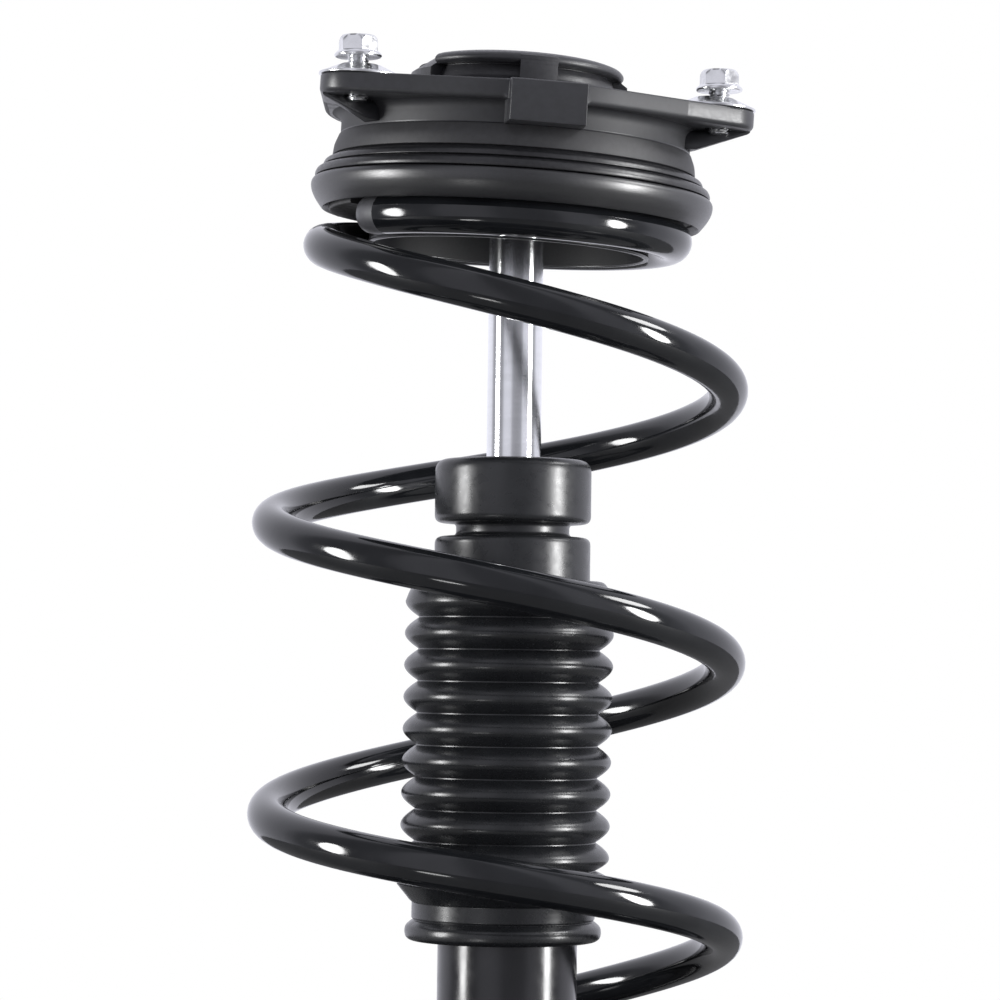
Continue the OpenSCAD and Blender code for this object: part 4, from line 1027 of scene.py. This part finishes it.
def cap_shape(heading, r, z):
    """Fills the undercut where a web crosses it, and cuts the lip back to the web's bevel."""
    centre, half = min(WEBS, key=lambda web: abs(off(heading, web[0])))
    turn = math.radians(abs(off(heading, centre)))
    if turn > 1 or math.sin(turn) * WEB_REACH > half:
        return r
    if centre == WEBS[0][0]:
        return max(r, CAP_LIP_R - 0.2) if r > CAP_NECK - 1 and z < WEB_TOP else r
    far = WEB_REACH - max(0, z - BEVEL_FOOT) * (WEB_REACH - BEVEL_REACH) / (CAP_TOP - BEVEL_FOOT)
    return far if r > CAP_NECK - 1 else min(r, far)


cap_headings = sorted(set(
    [i * 1.5 for i in range(240)]
    + [
        (centre + side * (math.degrees(math.asin(half / WEB_REACH)) + d)) % 360
        for centre, half in WEBS for side in (-1, 1) for d in (-0.5, -0.1, 0.1, 0.5)
    ]
))
cap_line = rounded([
    (31, CAP_FOOT, 0.3), (40.6, CAP_FOOT, 0.3), (39.6, -2.5, 0.6), (38.2, -0.9, 0), (36.9, 0.5, 0),
    (35.9, 1.6, 0.5), (35.5, 2.6, 0), (CAP_NECK, 4.9, 0), (33.9, 6.3, 0.5), (37.1, 6.2, 0.4),
    (38.3, 7.2, 0.6), (CAP_LIP_R, 8.4, 0.9), (37.4, 9.8, 1.4), (34.4, 10.9, 2.0), (30.5, CAP_TOP, 2.0),
    (26, CAP_TOP, 0), (23, CAP_TOP, 0.7), (CAP_BORE, 10.7, 0.7), (CAP_BORE, 8.1, 0.6), (31, 6.1, 0.4),
])
top_cap = turned("top_cap", cap_line, on_mount, headings=cap_headings, shape=cap_shape)
cap_plastic = finish(
    "charcoal_plastic", (0.025, 0.0253, 0.0285), 0.4,
    tint=((500, 4), (0.022, 0.0223, 0.025), (0.028, 0.0283, 0.032)), gloss=((900, 3), 0.35, 0.47),
    relief=[((2200, 3), 14)],
)
dress(top_cap, cap_plastic, "top_mount", "black_plastic", "mount_top_cap")

# Bolts: three M8 hex flange bolts in bright zinc, loose in the lobes as they are delivered. The
# head is forged with a chamfered top, and the thread is rolled on the shank.

THREAD_DEPTH, M8, M8_PITCH, LOBE_COUNT = 0.61, 8.0, 1.25, len(LOBES)
HEX_TOP_SHARE, HEX_DISH_SHARE = 0.93, 0.72
zinc = finish(
    "bright_zinc_plate", (0.74, 0.745, 0.75), 0.2,
    tint=((160, 5), (0.69, 0.695, 0.70), (0.79, 0.795, 0.80)), gloss=((420, 4), 0.15, 0.26),
    relief=[((700, 3), 1.2)], Metallic=1.0,
)


def hex_solid(name, flats, low, high, chamfer, sides=72, bore=0.0, dish=0.0, turn=0.0):
    """A hexagon from low to high with its corners chamfered round at the top, in millimetres."""
    shell = bmesh.new()
    half, top_r = flats / 2, flats / 2 * HEX_TOP_SHARE

    def ring(height, reach):
        return [
            shell.verts.new(around(reach(i), math.radians(turn) + 2 * math.pi * i / sides, height))
            for i in range(sides)
        ]

    def hex_reach(i):
        return half / math.cos((2 * math.pi * i / sides + math.pi / 6) % (math.pi / 3) - math.pi / 6)

    rings = [ring(low, hex_reach)]
    for t in (0.0, 0.38, 0.72, 1.0):
        cone = half / math.cos(math.pi / 6) * (1.002 - 0.17 * t ** 1.5)
        far = top_r if t == 1.0 else cone
        rings.append(ring(high - chamfer * 1.6 * (1 - t), lambda i: min(hex_reach(i), far)))
    if bore:
        rings += [ring(high, lambda i: bore), ring(low, lambda i: bore), rings[0]]
    else:
        rings.append(ring(high - dish, lambda i: top_r * HEX_DISH_SHARE))
    skin(shell, rings)
    if not bore:
        shell.faces.new(rings[-1])
        shell.faces.new(list(reversed(rings[0])))
    bmesh.ops.recalc_face_normals(shell, faces=shell.faces)
    return shell_piece(name, shell, 24)


def threaded(name, radius, low, high, pitch, sides=32):
    """A shank with a rolled thread: V grooves that climb round it."""
    shell = bmesh.new()
    rings = []
    groove, count = THREAD_DEPTH * pitch, int((high - low) / pitch * 4)
    for i in range(count + 1):
        z = low + (high - low) * i / count
        start, fade = (z - low) / pitch, min(1, (high - z) / pitch)
        ring = []
        for j in range(sides):
            depth = groove * (1 - abs(2 * ((z / pitch - j / sides) % 1) - 1)) * min(1, start + 0.35)
            r = radius - (groove - depth) * fade - 0.3 * max(0, 1 - start)
            ring.append(shell.verts.new(around(r, 2 * math.pi * j / sides, z)))
        rings.append(ring)
    skin(shell, rings)
    shell.faces.new(list(reversed(rings[0])))
    shell.faces.new(rings[-1])
    return shell_piece(name, shell, 50)


lobe_tree, lobe_in, lobe_out = grow_tree("at_each_lobe", [
    ("Circle radius", "NodeSocketFloat", BOLT_CIRCLE_R / 1000), ("Height", "NodeSocketFloat", 0.0),
    ("First heading", "NodeSocketFloat", math.radians(LOBES[0])),
])
lobe_ring = lobe_tree.nodes.new("GeometryNodeMeshCircle")
lobe_ring.inputs["Vertices"].default_value = LOBE_COUNT
turn_ring = lobe_tree.nodes.new("GeometryNodeTransform")
turn_angle = lobe_tree.nodes.new("ShaderNodeCombineXYZ")
lift_ring = lobe_tree.nodes.new("ShaderNodeCombineXYZ")
lobe_copies = lobe_tree.nodes.new("GeometryNodeInstanceOnPoints")
join(
    lobe_tree, (lobe_in, "Circle radius", lobe_ring, "Radius"), (lobe_ring, 0, turn_ring, "Geometry"),
    (lobe_in, "First heading", turn_angle, "Z"), (turn_angle, 0, turn_ring, "Rotation"),
    (lobe_in, "Height", lift_ring, "Z"), (lift_ring, 0, turn_ring, "Translation"),
    (turn_ring, 0, lobe_copies, "Points"), (lobe_in, "Geometry", lobe_copies, "Instance"),
)
close_tree(lobe_tree, lobe_copies, lobe_out, zinc)

PIVOT, BOLT_REACH, LIFT, BOLT_LEAN = -0.9, 12.2, 3.2, -2.9
bolt_head = hex_solid("bolt_head", 12.6, LIFT + 2.2, LIFT + 7.7, 1.5, dish=0.45, turn=14)
bolt_flange = turned("bolt_flange", rounded([
    (0, LIFT, 0), (8.1, LIFT, 0.3), (8.5, LIFT + 0.5, 0.5), (8.4, LIFT + 1.1, 0.4), (7.0, LIFT + 2.4, 0.4),
    (0, LIFT + 2.4, 0),
]), sides=64)
bolt_shank = threaded("bolt_shank", M8 / 2, -BOLT_REACH, LIFT + 0.5, M8_PITCH)
bolt = merge_pieces("bolt", [bolt_head, bolt_flange, bolt_shank])
bolt.data.transform(Matrix.Rotation(math.radians(BOLT_LEAN), 4, "Y"))
bolt_mesh = bolt.data
bpy.data.objects.remove(bolt)
loose_bolts = bake("flange_bolts", bolt_mesh, lobe_tree, {"Height": PIVOT / 1000}, 30)
loose_bolts.data.transform(on_mount)
dress(loose_bolts, zinc, "top_mount", "bright_zinc", "mount_bolts")

# Washers: dished spring steel rings under the bolt heads, plated bright zinc. Each sits on its
# lobe with the rim down, and the bolt hangs loose in it.

WASHER_BORE, WASHER_R, WASHER_IN = 4.6, 15, 1.6
washer = turned("washer", rounded([
    (12.3, 0.02, 0.15), (WASHER_R, 0.02, 0.3), (WASHER_R, 0.9, 0.35), (13.4, 1.5, 0.8), (7.4, 4.2, 0.9),
    (6.6, 4.4, 0.3), (WASHER_BORE, 4.4, 0.3), (WASHER_BORE, 2.8, 0.3), (6.4, 2.8, 0.8), (11.6, 0.5, 0.8),
]), sides=96)
washer_mesh = washer.data
bpy.data.objects.remove(washer)
washer_sizes = {"Height": FLANGE_TOP / 1000, "Circle radius": (BOLT_CIRCLE_R - WASHER_IN) / 1000}
dished_washers = bake("dished_washers", washer_mesh, lobe_tree, washer_sizes, 30)
dished_washers.data.transform(on_mount)
dress(dished_washers, zinc, "top_mount", "bright_zinc", "mount_washers")

# Piston rod: hard chromed and ground steel, 20 mm across, with a threaded tip for the top nut and
# a tail for the piston. Grinding leaves very fine lines round it.

chrome = finish(
    "hard_chrome", (0.86, 0.87, 0.88), 0.16,
    tint=((60, 4, (1, 1, 6)), (0.83, 0.84, 0.85), (0.89, 0.90, 0.91)),
    gloss=((420, 3, (1, 1, 20)), 0.14, 0.2), relief=[((700, 2, (1, 1, 30)), 0.6)],
    Metallic=1.0, Anisotropic=0.85, Anisotropic_Rotation=0.25,
)

rod_low, rod_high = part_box("piston_rod")
ROD_TOP, ROD_TIP, ROD_TAIL = 563.0, rod_high.z * 1000, rod_low.z * 1000
ROD_R, TIP_R, TAIL_R, TAIL_LENGTH, TIP_LOWER, FINE_PITCH = 10, 6.0, 5.0, 14, 2.4, 1.25
tail_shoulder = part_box("piston")[1].z * 1000
rod_line = rounded([
    (0, ROD_TAIL + TAIL_LENGTH, 0), (TAIL_R, ROD_TAIL + TAIL_LENGTH, 0), (TAIL_R, tail_shoulder, 0.2),
    (ROD_R, tail_shoulder, 0.6), (ROD_R, ROD_TOP, 0.8), (TIP_R, ROD_TOP, 0.3), (5.9, ROD_TOP + 6, 0),
    (0, ROD_TOP + 6, 0),
])
rod_shaft = turned("rod_shaft", rod_line, sides=128)
rod_thread = threaded("rod_thread", TIP_R, ROD_TOP + 5, ROD_TIP - TIP_LOWER, FINE_PITCH)
tip_flip = Matrix.Translation((0, 0, (ROD_TOP + 5 + ROD_TIP - TIP_LOWER) / 1000))
rod_thread.data.transform(tip_flip @ Matrix.Rotation(math.pi, 4, "X"))
tail_thread = threaded("tail_thread", TAIL_R, ROD_TAIL, ROD_TAIL + TAIL_LENGTH + 0.5, FINE_PITCH)
key_socket = hex_solid("key_socket", 5, ROD_TIP - 6, ROD_TIP + 3, 0.2, sides=36)
cut_away(rod_thread, [key_socket])
rod = merge_pieces("chromed_rod", [rod_shaft, rod_thread, tail_thread])
dress(rod, chrome, "rod", "chrome_rod", "piston_rod")

# Rod fastening: a ball shaped steel core in the bush, with a washer and a flanged nut that clamp
# the rod's tip to it.

BUSH_Z, ON_TIP, CORE_TOP = 0.572, TIP_R + 0.05, 4
core_line = rounded([
    (ON_TIP, -9, 0.4), (13.2, -9, 0.5), (15.1, -5.4, 1.5), (16, 0, 2), (15.5, CORE_TOP, 0.6),
    (ON_TIP, CORE_TOP, 0.4),
])
at_bush = Matrix.Translation((0, 0, BUSH_Z))
dress(turned("bush_core_ball", core_line, at_bush), ground_steel, "rod", "plain_steel", "bush_core")
nut_washer_line = rounded([(ON_TIP, 4.02, 0.2), (14, 4.02, 0.4), (14, 6.48, 0.5), (ON_TIP, 6.48, 0.2)])
dress(turned("nut_washer", nut_washer_line, at_bush), zinc, "rod", "bright_zinc", "rod_nut_washer")
rod_nut = hex_solid("rod_nut", 18, 6.5, 14.3, 1.4, bore=ON_TIP)
rod_nut.data.transform(at_bush)
dress(rod_nut, zinc, "rod", "bright_zinc", "rod_top_nut")

# Studio floor: a pale matt board that takes the strut's soft shadow. Only the camera sees it pale:
# it lights the strut, and shows in its gloss, as the grey cloth that such a table is covered with.

floor_board = finish(
    "pale_board", (0.22, 0.22, 0.22), 0.8, tint=((12, 3), (0.21, 0.21, 0.21), (0.23, 0.23, 0.23)),
)
floor_colour = floor_board.node_tree.nodes["Principled BSDF"].inputs["Base Color"]
floor_grey = floor_colour.links[0].from_socket
to_others = camera_colour(floor_board.node_tree, (0.74, 0.74, 0.74), floor_colour)
floor_board.node_tree.links.new(floor_grey, to_others)
studio_floor.data.materials.append(floor_board)
